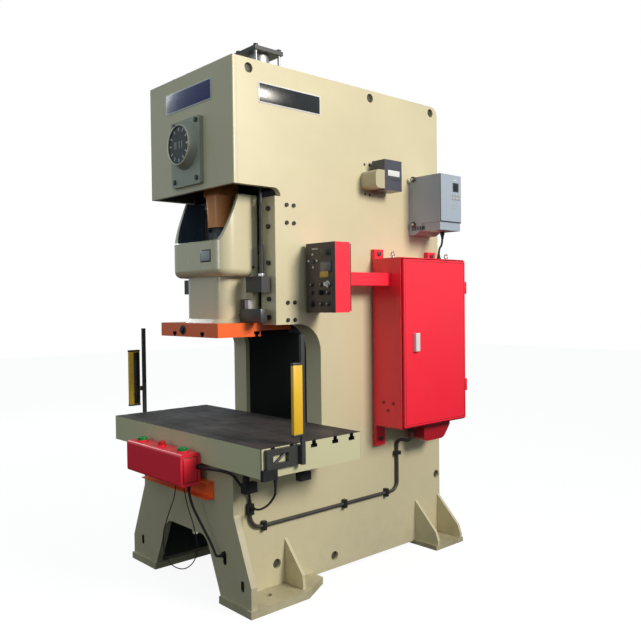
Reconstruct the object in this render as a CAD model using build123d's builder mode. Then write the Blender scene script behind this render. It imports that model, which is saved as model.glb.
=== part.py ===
import os
from math import radians, sqrt, tan

from build123d import *

# Mechanical stamping press with an open front: a C-shaped welded frame, a crank-driven slide
# in gibs, a wide T-slotted table, and its electric boxes on the right-hand side.
# Millimetres. +Z is up, the press faces -Y. The origin is the centre of the four anchor
# bolts, on the floor. Places along Y are written from the back wall of the throat.

os.makedirs("parts", exist_ok=True)

# Frame
throat_y = -255.0  # face of the throat's back wall, at the table's back edge
frame_height = 3000.0
frame_half_width = 447.0
side_thickness = 40.0
frame_back_y = throat_y + 1130.0
crown_corner_radius = 60.0
head_depth = 607.0  # from the throat wall to the front of the head
head_bottom_z = frame_height - 692
front_plate_thickness = 24.0
gib_step_depth = 284.0  # how far the gib seats stand in front of the throat wall
gib_step_radius = 44.0
throat_top_z = frame_height - 1472
throat_radius = 170.0
flange_thickness = 30.0
flange_setback = 13.0  # the flange face lies this far behind the table's back edge
flange_width = 135.0
top_plate_thickness = 20.0
back_plate_thickness = 30.0
lifting_hole_radius = 28.0
vent_z = frame_height - 800
middle_opening_z = 1180.0
lower_opening_z = 400.0

# Table, bed and feet
table_height = 920.0
table_thickness = 153.0
table_half_width = 792.0
table_depth = 711.0
slot_offsets = (-280.0, -155.0, 0.0, 155.0, 280.0)
slot_neck_width = 28.0
slot_neck_depth = 18.0
slot_head_width = 46.0
slot_head_depth = 20.0
table_hole_radius = 90.0
bed_front_y = throat_y - 630.0
bed_plate_thickness = 40.0
leg_thickness = 38.0
leg_top_half_width = frame_half_width + 38
leg_foot_half_width = frame_half_width + 190
leg_slant_top_z = 510.0
leg_slant_foot_z = 158.0
leg_slot_x = 397.0
arch_half_width = 352.0
arch_top_half_width = 214.0
arch_top_z = 345.0
arch_radius = 90.0
foot_half_width = frame_half_width + 201
foot_inner_x = frame_half_width - 97
front_foot_thickness = 40.0
rear_foot_thickness = 30.0
front_foot_straight = 403.0
front_foot_length = 603.0
rear_foot_length = 286.0
foot_end_x = frame_half_width + 93
side_ground_gap = 20.0
anchor_x = frame_half_width + 78
anchor_pitch_y = 1450.0
anchor_hole_radius = 21.0
gusset_thickness = 20.0

# Slide, gibs and connecting rod
running_gap = 0.5
slide_bottom_z = frame_height - 1539.5
plate_thickness = 80.5
plate_half_width = frame_half_width - 139
plate_front = 631.0
plate_shoulder = 331.0
plate_rear = 45.0
tail_bottom_z = slide_bottom_z + 30
slide_half_width = frame_half_width - 162
slide_front = 587.0
slide_corner_radius = 100.0
slide_wall = 22.0
slide_belly_z = slide_bottom_z + 349.5
slide_belly_radius = 43.0
shoulder_half_width = slide_half_width
shoulder_front = 368.0
shoulder_blend = 30.0
slide_top_z = slide_bottom_z + 819.5
slide_rear = 30.0
guide_half_width = frame_half_width - 207
guide_front = 331.0
neck_half_width = slide_half_width - 85
neck_front = 530.0
neck_radius = 70.0
pocket_floor_z = slide_bottom_z + 499.5
window_sill_z = pocket_floor_z + 53
window_slope = 0.40
window_curve = 30.0
gib_plate_width = 135.0
gib_plate_thickness = 42.0
gib_plate_top_z = frame_height - 738
gib_bolt_heights = tuple(frame_height - drop for drop in (1428, 1324, 1116, 908, 805))
gib_bolt_radius = 15.0
gib_bolt_height = 12.0
side_bolt_heights = tuple(frame_height - drop for drop in (1446, 1345, 885, 783))
side_bolt_offsets = (241.0, 188.0)
side_bolt_radius = 12.0
side_bolt_height = 7.0
die_slot_x = 150.0
die_slot_back = 361.0
die_slot_width = 22.0
die_slot_head_width = 38.0
die_slot_neck = 12.0
die_slot_head = 18.0
shank_hole_radius = 25.0
shank_hole_depth = 75.0
slide_stroke = 180.0
die_height_range = 90.0

crank_z = frame_height - 425
crank_throw = slide_stroke / 2
rod_back = 385.0
rod_thickness = 140.0
pin_radius = 85.0
big_end_wall = 60.0
big_end_half_width = pin_radius + crank_throw + big_end_wall + 5
web_radius = 195.0
web_thickness = 35.0
journal_radius = 70.0
shank_top_radius = 92.0
shank_end_radius = 81.0
shank_top_z = crank_z - 275
shank_end_z = crank_z - 465
screw_radius = 60.0
screw_top_z = crank_z - 215
collar_radius = 85.0
collar_top_z = crank_z - 497
ball_radius = 80.0
ball_z = crank_z - 695

# Crown plates, gears and drive
bearing_plate_bottom_z = head_bottom_z + 22
bearing_plate_top_z = frame_height - 180
bearing_thickness = 60.0
front_bearing = 560.0
rear_bearing = 260.0
gear_module = 8.0
gear_teeth = 78
pinion_teeth = 17
gear_width = 110.0
gear_front = 60.0
tooth_slack = 0.6
gear_plate_thickness = 30.0
gear_plate_rear = 220.0
gear_plate_bottom_z = frame_height - 940
drive_radius = 45.0
shaft_clearance = 0.05
clutch_radius = 170.0
flywheel_clearance = 47.0  # from the rim to the side plates
flywheel_width = 160.0
flywheel_front = 300.0
flywheel_web = 45.0
pulley_radius = 90.0
belt_centres = 575.0
motor_radius = 130.0
motor_length = 400.0
motor_front = 490.0
motor_shaft_radius = 24.0
belt_gap = 0.5
belt_thickness = 12.0
belt_count = 4
belt_pitch = 32.0
belt_width = 18.0

# Balance cylinders
balancer_x = frame_half_width - 101
balancer_back = 350.0
cap_size = 200.0
cap_thickness = 22.0
cap_top_z = frame_height + 85
barrel_radius = 60.0
barrel_wall = 6.0
barrel_bottom_z = frame_height - 400
barrel_foot_thickness = 25.0
piston_thickness = 30.0
piston_rod_radius = 9.0
tie_rod_radius = 8.0
tie_rod_offset = 82.0
shelf_thickness = 20.0
sleeve_top_z = frame_height - 1010
lug_top_z = slide_bottom_z + 345.5
lug_bottom_z = slide_bottom_z + 254.5
lug_front = 400.0
lug_back = 341.0
lug_root = slide_half_width - 23
lug_reach = frame_half_width - 37

# Crank-angle dial on the head
dial_plate_half_width = 155.0
dial_plate_bottom_z = crank_z - 232
dial_plate_top_z = crank_z + 153
dial_plate_thickness = 25.0
dial_base_radius = 140.0
dial_front_radius = 118.0
dial_depth = 44.0
dial_radius = 108.0
dial_thickness = 6.0

# Boxes on the right-hand side
cabinet_back_x = frame_half_width + 33
cabinet_depth = 220.0
cabinet_front = 453.0
cabinet_width = 636.0
cabinet_bottom_z = 860.0
cabinet_top_z = frame_height - 1073
sheet = 4.0
door_thickness = 16.0
door_margin = 10.0
rail_width = 80.0
rail_thickness = 20.0
rail_bottom_z = cabinet_bottom_z - 130
rail_top_z = cabinet_top_z + 61
hood_depth = 140.0
hinge_radius = 6.0
hinge_length = 40.0
hinge_heights = (cabinet_bottom_z + 190, cabinet_top_z - 227)
handle_back = 567.0
handle_z = cabinet_top_z - 529
handle_width = 40.0
handle_height = 115.0
handle_depth = 24.0

panel_left_x = frame_half_width + 28
panel_width = 245.0
panel_front = 120.0
panel_depth = 114.0
panel_lip = 18.0
panel_bottom_z = cabinet_top_z - 332
panel_height = 400.0
arm_left_x = frame_half_width + 85
arm_width = 80.0
arm_bottom_z = cabinet_top_z - 177
arm_height = 82.0
button_travel = 4.0
bezel_height = 7.0
start_button_radius = 14.0

inverter_left_x = frame_half_width + 53
inverter_depth = 215.0
inverter_front = 826.0
inverter_width = 219.0
inverter_bottom_z = frame_height - 883
inverter_top_z = frame_height - 520

cam_box_left_x = frame_half_width + 23
cam_box_right_x = frame_half_width + 133
cam_box_front = 448.0
cam_box_rear = 606.0
cam_box_bottom_z = frame_height - 645
cam_box_top_z = frame_height - 455
cam_cover_front = 367.0
cam_cover_bottom_z = frame_height - 639
cam_cover_top_z = frame_height - 525

# Light curtains on brackets at the table's ends
curtain_x = table_half_width + 43
curtain_bar_y = throat_y - 505.0
curtain_bar_width = 45.0
curtain_bar_depth = 40.0
curtain_bottom_z = table_height + 45
curtain_top_z = table_height + 425
curtain_post_top_z = table_height + 570

# Two-hand station under the table's front edge
station_left_x = -372.0
station_right_x = 244.0
station_back = 718.0
station_depth = 126.0
channel_wall = 6.0
channel_height = 98.0
station_bottom_z = table_height - 270
station_top_z = table_height - 90

# Places worked out from the sizes above
inner_x = frame_half_width - side_thickness
head_front_y = throat_y - head_depth
head_wall_y = head_front_y + front_plate_thickness
flange_face_y = throat_y + flange_setback
flange_back_y = flange_face_y + flange_thickness
throat_arc_z = throat_top_z - throat_radius
throat_arc_y = flange_face_y - throat_radius
gib_seat_y = throat_y - gib_step_depth
gib_plate_front_y = gib_seat_y - gib_plate_thickness
gib_bottom_z = throat_top_z + flange_thickness
flange_inner_x = frame_half_width - flange_width
table_bottom_z = table_height - table_thickness
table_centre_y = throat_y - table_depth / 2
leg_front_y = bed_front_y - leg_thickness
foot_front_y = leg_front_y - 10
plate_top_z = slide_bottom_z + plate_thickness
rod_y = throat_y - rod_back
rod_front_y = rod_y - rod_thickness / 2
rod_rear_y = rod_y + rod_thickness / 2
pin_z = crank_z + crank_throw
gear_pitch_radius = gear_module * gear_teeth / 2
pinion_pitch_radius = gear_module * pinion_teeth / 2
drive_z = crank_z - gear_pitch_radius - pinion_pitch_radius
flywheel_y = throat_y + flywheel_front
flywheel_radius = inner_x - flywheel_clearance
motor_z = drive_z - belt_centres
balancer_y = throat_y - balancer_back
cap_bottom_z = cap_top_z - cap_thickness
dial_plate_y = head_front_y - dial_plate_thickness
dial_front_y = dial_plate_y - dial_depth
cabinet_front_y = throat_y + cabinet_front
cabinet_rear_y = cabinet_front_y + cabinet_width
cabinet_face_x = cabinet_back_x + cabinet_depth
door_x = cabinet_face_x + running_gap
hinge_x = door_x + door_thickness / 2
hinge_y = cabinet_rear_y + hinge_radius + 2
panel_front_y = throat_y - panel_front
panel_back_y = panel_front_y + panel_depth
panel_right_x = panel_left_x + panel_width
panel_top_z = panel_bottom_z + panel_height


def save(piece, name):
    piece.part.label = name
    export_step(piece.part, f"parts/{name}.step")


def block(x0, x1, y0, y1, z0, z1, mode=Mode.ADD):
    """A plain block between two opposite corners."""
    with Locations(((x0 + x1) / 2, (y0 + y1) / 2, (z0 + z1) / 2)):
        Box(abs(x1 - x0), abs(y1 - y0), abs(z1 - z0), mode=mode)


def rod_along_y(x, z, radius, y0, y1, mode=Mode.ADD):
    with Locations((x, (y0 + y1) / 2, z)):
        Cylinder(radius, y1 - y0, rotation=(90, 0, 0), mode=mode)


def rod_along_z(x, y, radius, z0, z1, mode=Mode.ADD):
    with Locations((x, y, (z0 + z1) / 2)):
        Cylinder(radius, z1 - z0, mode=mode)


def rod_along_x(y, z, radius, x0, x1, mode=Mode.ADD):
    with Locations(((x0 + x1) / 2, y, z)):
        Cylinder(radius, abs(x1 - x0), rotation=(0, 90, 0), mode=mode)


# Side plates: one profile cut from thick plate, with the C-shaped throat in its front edge.
# The throat edge stands back by the thickness of the flange that is welded to it.
side_outline = (
    ((head_wall_y, head_bottom_z), 0),
    ((head_wall_y, frame_height), 0),
    ((frame_back_y, frame_height), crown_corner_radius),
    ((frame_back_y, rear_foot_thickness), 0),
    ((frame_back_y - rear_foot_length, rear_foot_thickness), 0),
    ((frame_back_y - rear_foot_length, side_ground_gap), 0),
    ((foot_front_y + front_foot_length, side_ground_gap), 0),
    ((foot_front_y + front_foot_length, front_foot_thickness), 0),
    ((bed_front_y, front_foot_thickness), 0),
    ((bed_front_y, table_bottom_z), 0),
    ((flange_back_y, table_bottom_z), 0),
    ((flange_back_y, gib_bottom_z), throat_radius + flange_thickness),
    ((gib_seat_y, gib_bottom_z), 0),
    ((gib_seat_y, head_bottom_z), gib_step_radius),
)
lifting_holes = (
    (throat_y - 498, frame_height - 53),
    (throat_y + 460, frame_height - 49),
    (frame_back_y - 72, frame_height - 45),
    (throat_y - 344, 162),
    (throat_y + 108, 98),
    (frame_back_y - 37, 437),
)
for side_name, x0 in (("right", inner_x), ("left", -frame_half_width)):
    with BuildPart() as side_plate:
        with BuildSketch(Plane.YZ.offset(x0)):
            with BuildLine():
                FilletPolyline(
                    [point for point, corner in side_outline],
                    radius=[corner for point, corner in side_outline],
                    close=True,
                )
            make_face()
            with Locations(lifting_holes):
                Circle(lifting_hole_radius, mode=Mode.SUBTRACT)
        extrude(amount=side_thickness)
    save(side_plate, f"side_plate_{side_name}")

# Throat flanges: wide plates bent round the throat's profile, welded on the side plates' edge
with BuildPart() as throat_flanges:
    for x0 in (flange_inner_x, -frame_half_width):
        with BuildSketch(Plane.YZ.offset(x0)):
            with BuildLine():
                FilletPolyline(
                    (flange_face_y, table_bottom_z),
                    (flange_face_y, throat_top_z),
                    (gib_seat_y, throat_top_z),
                    (gib_seat_y, gib_bottom_z),
                    (flange_back_y, gib_bottom_z),
                    (flange_back_y, table_bottom_z),
                    radius=[0, throat_radius, 0, 0, throat_radius + flange_thickness, 0],
                    close=True,
                )
            make_face()
        extrude(amount=flange_width)
save(throat_flanges, "throat_flanges")

# Head front plate, with the opening that the dial's shaft end passes through
with BuildPart() as head_front_plate:
    block(-frame_half_width, frame_half_width, head_front_y, head_wall_y, head_bottom_z, frame_height)
    rod_along_y(0, crank_z, journal_radius + 5, head_front_y, head_wall_y, Mode.SUBTRACT)
    fillet(head_front_plate.edges().filter_by(Axis.Z).group_by(Axis.Y)[0], radius=8)
save(head_front_plate, "head_front_plate")

# Crown top plate between the side plates, with a round hole for each balance cylinder
with BuildPart() as crown_top_plate:
    plate_z = frame_height - top_plate_thickness
    block(-inner_x, inner_x, head_wall_y, frame_back_y - crown_corner_radius, plate_z, frame_height)
    for side in (-1, 1):
        x = side * balancer_x
        rod_along_z(x, balancer_y, barrel_radius + 2, plate_z, frame_height, Mode.SUBTRACT)
save(crown_top_plate, "crown_top_plate")

# Crown bearing plates, in front of the crank and behind it, with the bearing bosses, and the
# two shelves that carry the balance cylinders
with BuildPart() as bearing_plates:
    for y0 in (throat_y - front_bearing, throat_y - rear_bearing):
        y1 = y0 + bearing_thickness
        block(-inner_x, inner_x, y0, y1, bearing_plate_bottom_z, bearing_plate_top_z)
        rod_along_y(0, crank_z, journal_radius + shaft_clearance, y0, y1, Mode.SUBTRACT)
    for side in (-1, 1):
        x = side * balancer_x
        z0 = barrel_bottom_z - barrel_foot_thickness - shelf_thickness
        block(
            x - side * 70,
            side * inner_x,
            balancer_y - 70,
            throat_y - rear_bearing,
            z0,
            z0 + shelf_thickness,
        )
        rod_along_z(x, balancer_y, piston_rod_radius + 8, z0, z0 + shelf_thickness, Mode.SUBTRACT)
save(bearing_plates, "bearing_plates")

# Gear case plates: the gear pair runs between them
with BuildPart() as gear_case_plates:
    for y0 in (throat_y, throat_y + gear_plate_rear):
        y1 = y0 + gear_plate_thickness
        top_z = frame_height - top_plate_thickness
        block(-inner_x, inner_x, y0, y1, gear_plate_bottom_z, top_z)
        rod_along_y(0, crank_z, journal_radius + shaft_clearance, y0, y1, Mode.SUBTRACT)
        rod_along_y(0, drive_z, drive_radius + shaft_clearance, y0, y1, Mode.SUBTRACT)
    block(
        -inner_x,
        inner_x,
        throat_y + gear_plate_thickness,
        throat_y + gear_plate_rear,
        gear_plate_bottom_z,
        gear_plate_bottom_z + 20,
    )
save(gear_case_plates, "gear_case_plates")

# Gib plates: bars bolted to the frame's front edge, one each side of the slide
with BuildPart() as gib_plates:
    for side in (-1, 1):
        block(
            side * flange_inner_x,
            side * frame_half_width,
            gib_plate_front_y,
            gib_seat_y,
            throat_top_z,
            gib_plate_top_z,
        )
save(gib_plates, "gib_plates")

# Gibs: the guide bars that the slide's rear block runs between
with BuildPart() as gibs:
    for side in (-1, 1):
        block(
            side * (guide_half_width + running_gap),
            side * inner_x,
            gib_seat_y,
            throat_y - 40,
            gib_bottom_z,
            head_bottom_z,
        )
save(gibs, "gibs")

# Hex bolts in the gib plates, and the gib adjusting bolts in the side plates
with BuildPart() as gib_bolts:
    for side in (-1, 1):
        for z in gib_bolt_heights:
            with BuildSketch(Plane.XZ.offset(-gib_plate_front_y)):
                with Locations((side * 389, z)):
                    RegularPolygon(gib_bolt_radius, 6)
            extrude(amount=gib_bolt_height)
        for z in side_bolt_heights:
            for bolt_back in side_bolt_offsets:
                face = side * frame_half_width
                rod_along_x(throat_y - bolt_back, z, side_bolt_radius, face, face + side * side_bolt_height)
save(gib_bolts, "gib_bolts")

# Front leg plate: widens from the frame to the feet, with an arch cut in it
with BuildPart() as leg_front_plate:
    with BuildSketch(Plane.XZ.offset(-bed_front_y)):
        with BuildLine():
            FilletPolyline(
                (-leg_foot_half_width, front_foot_thickness),
                (-leg_foot_half_width, leg_slant_foot_z),
                (-leg_top_half_width, leg_slant_top_z),
                (-leg_top_half_width, table_bottom_z),
                (leg_top_half_width, table_bottom_z),
                (leg_top_half_width, leg_slant_top_z),
                (leg_foot_half_width, leg_slant_foot_z),
                (leg_foot_half_width, front_foot_thickness),
                (arch_half_width, front_foot_thickness),
                (arch_top_half_width, arch_top_z),
                (-arch_top_half_width, arch_top_z),
                (-arch_half_width, front_foot_thickness),
                radius=[0, 0, 0, 0, 0, 0, 0, 0, 0, arch_radius, arch_radius, 0],
                close=True,
            )
        make_face()
        with Locations((leg_slot_x, 262)):
            SlotOverall(78, 32, rotation=90, mode=Mode.SUBTRACT)
        with Locations((frame_half_width + 113, 150), (-frame_half_width - 72, 150)):
            SlotOverall(60, 30, rotation=90, mode=Mode.SUBTRACT)
    extrude(amount=leg_thickness)
save(leg_front_plate, "leg_front_plate")

# Feet, each with its anchor bolt hole
with BuildPart() as feet:
    foot_middle_x = (foot_inner_x + foot_half_width) / 2
    for side in (-1, 1):
        with BuildSketch():
            with BuildLine():
                Polyline(
                    (side * foot_inner_x, foot_front_y),
                    (side * foot_half_width, foot_front_y),
                    (side * foot_half_width, foot_front_y + front_foot_straight),
                    (side * foot_end_x, foot_front_y + front_foot_length),
                    (side * foot_inner_x, foot_front_y + front_foot_length),
                    (side * foot_inner_x, foot_front_y),
                )
            make_face()
            with Locations((side * anchor_x, -anchor_pitch_y / 2)):
                Circle(anchor_hole_radius, mode=Mode.SUBTRACT)
        extrude(amount=front_foot_thickness)
        with BuildSketch():
            with Locations((side * foot_middle_x, frame_back_y - rear_foot_length / 2)):
                Rectangle(foot_half_width - foot_inner_x, rear_foot_length)
            with Locations((side * anchor_x, anchor_pitch_y / 2)):
                Circle(anchor_hole_radius, mode=Mode.SUBTRACT)
        extrude(amount=rear_foot_thickness)
save(feet, "feet")

# Gussets between the side plates and the feet
gussets = (
    (throat_y - 285, front_foot_thickness, frame_half_width + 159, 65.0, frame_half_width + 159, 295.0),
    (frame_back_y - 268, rear_foot_thickness, frame_half_width + 199, 60.0, frame_half_width + 184, 297.0),
    (frame_back_y - 30, rear_foot_thickness, frame_half_width + 199, 60.0, frame_half_width + 184, 297.0),
)
with BuildPart() as foot_gussets:
    for y0, z0, toe_x, toe_z, knee_x, top_z in gussets:
        for side in (-1, 1):
            with BuildSketch(Plane.XZ.offset(-y0 - gusset_thickness)):
                with BuildLine():
                    Polyline(
                        (side * frame_half_width, z0),
                        (side * toe_x, z0),
                        (side * toe_x, toe_z),
                        (side * (knee_x - 6), toe_z + 55),
                        (side * frame_half_width, top_z),
                        (side * frame_half_width, z0),
                    )
                make_face()
            extrude(amount=gusset_thickness)
save(foot_gussets, "foot_gussets")

# Bed plate under the table, with the slug hole
with BuildPart() as bed_plate:
    z0 = table_bottom_z - bed_plate_thickness
    block(-inner_x, inner_x, bed_front_y, flange_back_y, z0, table_bottom_z)
    rod_along_z(0, table_centre_y, table_hole_radius + 30, z0, table_bottom_z, Mode.SUBTRACT)
save(bed_plate, "bed_plate")

# Back plate: an opening behind the throat, another low down, and vents behind the motor
with BuildPart() as back_plate:
    with BuildSketch(Plane.XZ.offset(-frame_back_y)):
        with Locations((0, (rear_foot_thickness + frame_height - crown_corner_radius) / 2)):
            Rectangle(2 * inner_x, frame_height - crown_corner_radius - rear_foot_thickness)
        with Locations((0, middle_opening_z)):
            RectangleRounded(600, 460, 40, mode=Mode.SUBTRACT)
        with Locations((0, lower_opening_z)):
            RectangleRounded(500, 420, 40, mode=Mode.SUBTRACT)
        with Locations((0, vent_z)):
            with GridLocations(220, 60, 3, 6):
                SlotOverall(160, 24, mode=Mode.SUBTRACT)
    extrude(amount=back_plate_thickness)
save(back_plate, "back_plate")

# Table with T-slots along X and a round hole for slugs and the die cushion
with BuildPart() as table:
    block(-table_half_width, table_half_width, throat_y - table_depth, throat_y, table_bottom_z, table_height)
    fillet(table.edges().filter_by(Axis.Z), radius=8)
    neck_z = table_height - slot_neck_depth
    for offset in slot_offsets:
        y = table_centre_y + offset
        half_neck = slot_neck_width / 2
        half_head = slot_head_width / 2
        block(
            -table_half_width, table_half_width, y - half_neck, y + half_neck, neck_z, table_height, Mode.SUBTRACT
        )
        block(
            -table_half_width,
            table_half_width,
            y - half_head,
            y + half_head,
            neck_z - slot_head_depth,
            neck_z,
            Mode.SUBTRACT,
        )
    rod_along_z(0, table_centre_y, table_hole_radius, table_bottom_z, table_height, Mode.SUBTRACT)
save(table, "table")


def rounded_front(half_width, front_y, back_y, radius):
    """A plan outline with a straight back and two rounded front corners."""
    with BuildSketch() as outline:
        with BuildLine():
            FilletPolyline(
                (-half_width, back_y),
                (-half_width, front_y),
                (half_width, front_y),
                (half_width, back_y),
                radius=[0, radius, radius, 0],
                close=True,
            )
        make_face()
    return outline.sketch


# Slide casting: guide block behind, rounded open-topped body in front, neck down to the plate
slide_front_y = throat_y - slide_front
neck_front_y = throat_y - neck_front
guide_front_y = throat_y - guide_front
guide_rear_y = throat_y - slide_rear
flare = 22.0
with BuildPart() as slide_body:
    with BuildSketch(Plane.XY.offset(slide_belly_z)):
        add(rounded_front(slide_half_width, slide_front_y, guide_front_y, slide_corner_radius))
    extrude(amount=slide_top_z - slide_belly_z)
    belly = slide_body.faces().sort_by(Axis.Z)[0]
    fillet(belly.edges().filter_by(lambda e: e.center().Y < guide_front_y - 1), radius=slide_belly_radius)
    block(-guide_half_width, guide_half_width, guide_front_y, guide_rear_y, plate_top_z, slide_top_z)
    with BuildSketch(Plane.XY.offset(plate_top_z)):
        add(rounded_front(neck_half_width, neck_front_y, guide_front_y, neck_radius))
    extrude(amount=slide_belly_z - plate_top_z)
    # Shoulders behind the neck, in front of the gibs
    shoulder_y = throat_y - shoulder_front
    shoulder_top_z = slide_belly_z + slide_belly_radius
    block(-shoulder_half_width, shoulder_half_width, shoulder_y, guide_front_y, plate_top_z + 60, shoulder_top_z)
    corners = slide_body.edges().filter_by(Axis.Z).filter_by(
        lambda e: abs(e.center().Y - shoulder_y) < 1 and abs(abs(e.center().X) - neck_half_width) < 1
    )
    fillet(corners, radius=shoulder_blend)
    # Flare where the neck meets the plate
    with BuildSketch(Plane.XY.offset(plate_top_z)):
        add(rounded_front(neck_half_width + flare, neck_front_y - flare, guide_front_y + 60, neck_radius + flare))
    extrude(amount=flare + 4, taper=45)
    # Pocket for the rod, open at the top
    with BuildSketch(Plane.XY.offset(pocket_floor_z)):
        add(
            rounded_front(
                slide_half_width - slide_wall,
                slide_front_y + slide_wall,
                guide_front_y,
                slide_corner_radius - slide_wall,
            )
        )
        with Locations((0, (guide_front_y + throat_y - 120) / 2)):
            Rectangle(2 * (guide_half_width - slide_wall), throat_y - 120 - guide_front_y)
    extrude(amount=slide_top_z - pocket_floor_z, mode=Mode.SUBTRACT)
    # The front is cut away on a slope, so that the rod shows
    with BuildSketch(Plane.YZ.offset(-slide_half_width - 10)):
        with BuildLine():
            sill_end_y = slide_front_y + slide_wall
            top_run = (slide_top_z + 20 - window_sill_z) * window_slope
            FilletPolyline(
                (slide_front_y - 20, window_sill_z),
                (sill_end_y, window_sill_z),
                (sill_end_y + top_run, slide_top_z + 20),
                (slide_front_y - 20, slide_top_z + 20),
                radius=[0, window_curve, 0, 0],
                close=True,
            )
        make_face()
    extrude(amount=2 * slide_half_width + 20, mode=Mode.SUBTRACT)
    # Seat for the ball's cup
    rod_along_z(0, rod_y, ball_radius + 25, ball_z - ball_radius - 15, pocket_floor_z, Mode.SUBTRACT)
save(slide_body, "slide_body")

# Slide plate: thick plate under the casting, narrower where it passes between the gibs
with BuildPart() as slide_plate:
    with BuildSketch(Plane.XY.offset(slide_bottom_z)):
        with BuildLine():
            Polyline(
                (-plate_half_width, throat_y - plate_front),
                (plate_half_width, throat_y - plate_front),
                (plate_half_width, throat_y - plate_shoulder),
                (guide_half_width, throat_y - plate_shoulder),
                (guide_half_width, throat_y - plate_rear),
                (-guide_half_width, throat_y - plate_rear),
                (-guide_half_width, throat_y - plate_shoulder),
                (-plate_half_width, throat_y - plate_shoulder),
                (-plate_half_width, throat_y - plate_front),
            )
        make_face()
    extrude(amount=plate_thickness)
    # The tail between the gibs is thinner
    tail_y = throat_y - plate_shoulder + 20
    block(
        -guide_half_width,
        guide_half_width,
        tail_y,
        throat_y - plate_rear,
        slide_bottom_z,
        tail_bottom_z,
        Mode.SUBTRACT,
    )
    # T-slots: two from front to back, one across
    head_z = slide_bottom_z + die_slot_neck
    for half, z0, z1 in (
        (die_slot_width / 2, slide_bottom_z, head_z),
        (die_slot_head_width / 2, head_z, head_z + die_slot_head),
    ):
        for x in (-die_slot_x, die_slot_x):
            block(x - half, x + half, throat_y - plate_front, tail_y, z0, z1, Mode.SUBTRACT)
        y = throat_y - die_slot_back
        block(-plate_half_width, plate_half_width, y - half, y + half, z0, z1, Mode.SUBTRACT)
    shank_top_of_hole = slide_bottom_z + shank_hole_depth
    rod_along_z(0, throat_y - 500, shank_hole_radius, slide_bottom_z, shank_top_of_hole, Mode.SUBTRACT)
save(slide_plate, "slide_plate")

# Lugs on the neck's sides, which carry the balance cylinders' rods
with BuildPart() as slide_lugs:
    for side in (-1, 1):
        x = side * lug_reach
        y0 = throat_y - lug_front
        block(side * lug_root, x, y0, throat_y - shoulder_front, lug_bottom_z, lug_top_z)
        block(side * shoulder_half_width, x, y0, throat_y - lug_back, lug_bottom_z, lug_top_z)
save(slide_lugs, "slide_lugs")

# Ball cup and adjusting screw: the screw turns in the rod and its ball sits in the slide
with BuildPart() as ball_screw:
    rod_along_z(0, rod_y, ball_radius + 25, ball_z - ball_radius - 15, pocket_floor_z)
    rod_along_z(0, rod_y, collar_radius, pocket_floor_z, collar_top_z)
    rod_along_z(0, rod_y, screw_radius, collar_top_z, screw_top_z)
save(ball_screw, "ball_screw")


def capsule(half_run, radius):
    """A slot outline, wider than high, centred on the origin."""
    with BuildSketch() as outline:
        SlotCenterToCenter(2 * half_run, 2 * radius)
    return outline.sketch


# Connecting rod: big end round the crank pin, tapering shank that holds the screw. The pin
# works in an oblong opening, long enough for its whole sideways travel.
pin_drift = 19.0
pin_slack = 3.0
pin_room = pin_radius + pin_drift + pin_slack
with BuildPart() as con_rod:
    with BuildSketch(Plane.XZ.offset(-rod_rear_y)):
        with Locations((0, pin_z)):
            add(capsule(big_end_half_width - pin_room - big_end_wall, pin_room + big_end_wall))
        with Locations((0, (pin_z + shank_top_z) / 2)):
            Rectangle(2 * shank_top_radius - 20, pin_z - shank_top_z)
        with Locations((0, pin_z)):
            add(capsule(crank_throw - pin_drift, pin_room), mode=Mode.SUBTRACT)
    extrude(amount=rod_thickness)
    with Locations((0, rod_y, (shank_top_z + shank_end_z) / 2)):
        Cone(shank_end_radius, shank_top_radius, shank_top_z - shank_end_z)
    rod_along_z(0, rod_y, screw_radius + shaft_clearance, shank_end_z, screw_top_z + 5, Mode.SUBTRACT)
save(con_rod, "con_rod")

# Crankshaft: disc webs each side of the rod, the offset pin, journals, and the gear seat
crank_tail_y = throat_y + gear_plate_rear + gear_plate_thickness
front_web_y = rod_front_y - running_gap - web_thickness
rear_web_y = rod_rear_y + running_gap
with BuildPart() as crankshaft:
    rod_along_y(0, crank_z, journal_radius, dial_front_y + 8, front_web_y)
    rod_along_y(0, crank_z, web_radius, front_web_y, front_web_y + web_thickness)
    rod_along_y(0, pin_z, pin_radius, front_web_y + web_thickness, rear_web_y)
    rod_along_y(0, crank_z, web_radius, rear_web_y, rear_web_y + web_thickness)
    rod_along_y(0, crank_z, journal_radius, rear_web_y + web_thickness, crank_tail_y)
save(crankshaft, "crankshaft")


def gear_outline(teeth, bore, first_tooth):
    """A spur gear with straight-flanked teeth, centred on the origin."""
    pitch = gear_module * teeth / 2
    tip = pitch + gear_module
    root = pitch - 1.25 * gear_module
    tip_half = gear_module * 0.36
    root_half = gear_module * 1.02 - tooth_slack
    with BuildSketch() as tooth:
        with BuildLine():
            Polyline(
                (root - 3, -root_half),
                (tip, -tip_half),
                (tip, tip_half),
                (root - 3, root_half),
                (root - 3, -root_half),
            )
        make_face()
    with BuildSketch() as outline:
        Circle(root)
        with PolarLocations(0, teeth, start_angle=first_tooth):
            add(tooth.sketch)
        if bore > 0:
            Circle(bore, mode=Mode.SUBTRACT)
    return outline.sketch


# Main gear on the crankshaft, lightened by six round holes
gear_rear_y = throat_y + gear_front + gear_width
with BuildPart() as main_gear:
    with BuildSketch(Plane.XZ.offset(-gear_rear_y)):
        with Locations((0, crank_z)):
            add(gear_outline(gear_teeth, journal_radius, -90))
            with PolarLocations(190, 6):
                Circle(52, mode=Mode.SUBTRACT)
    extrude(amount=gear_width)
save(main_gear, "main_gear")

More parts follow.
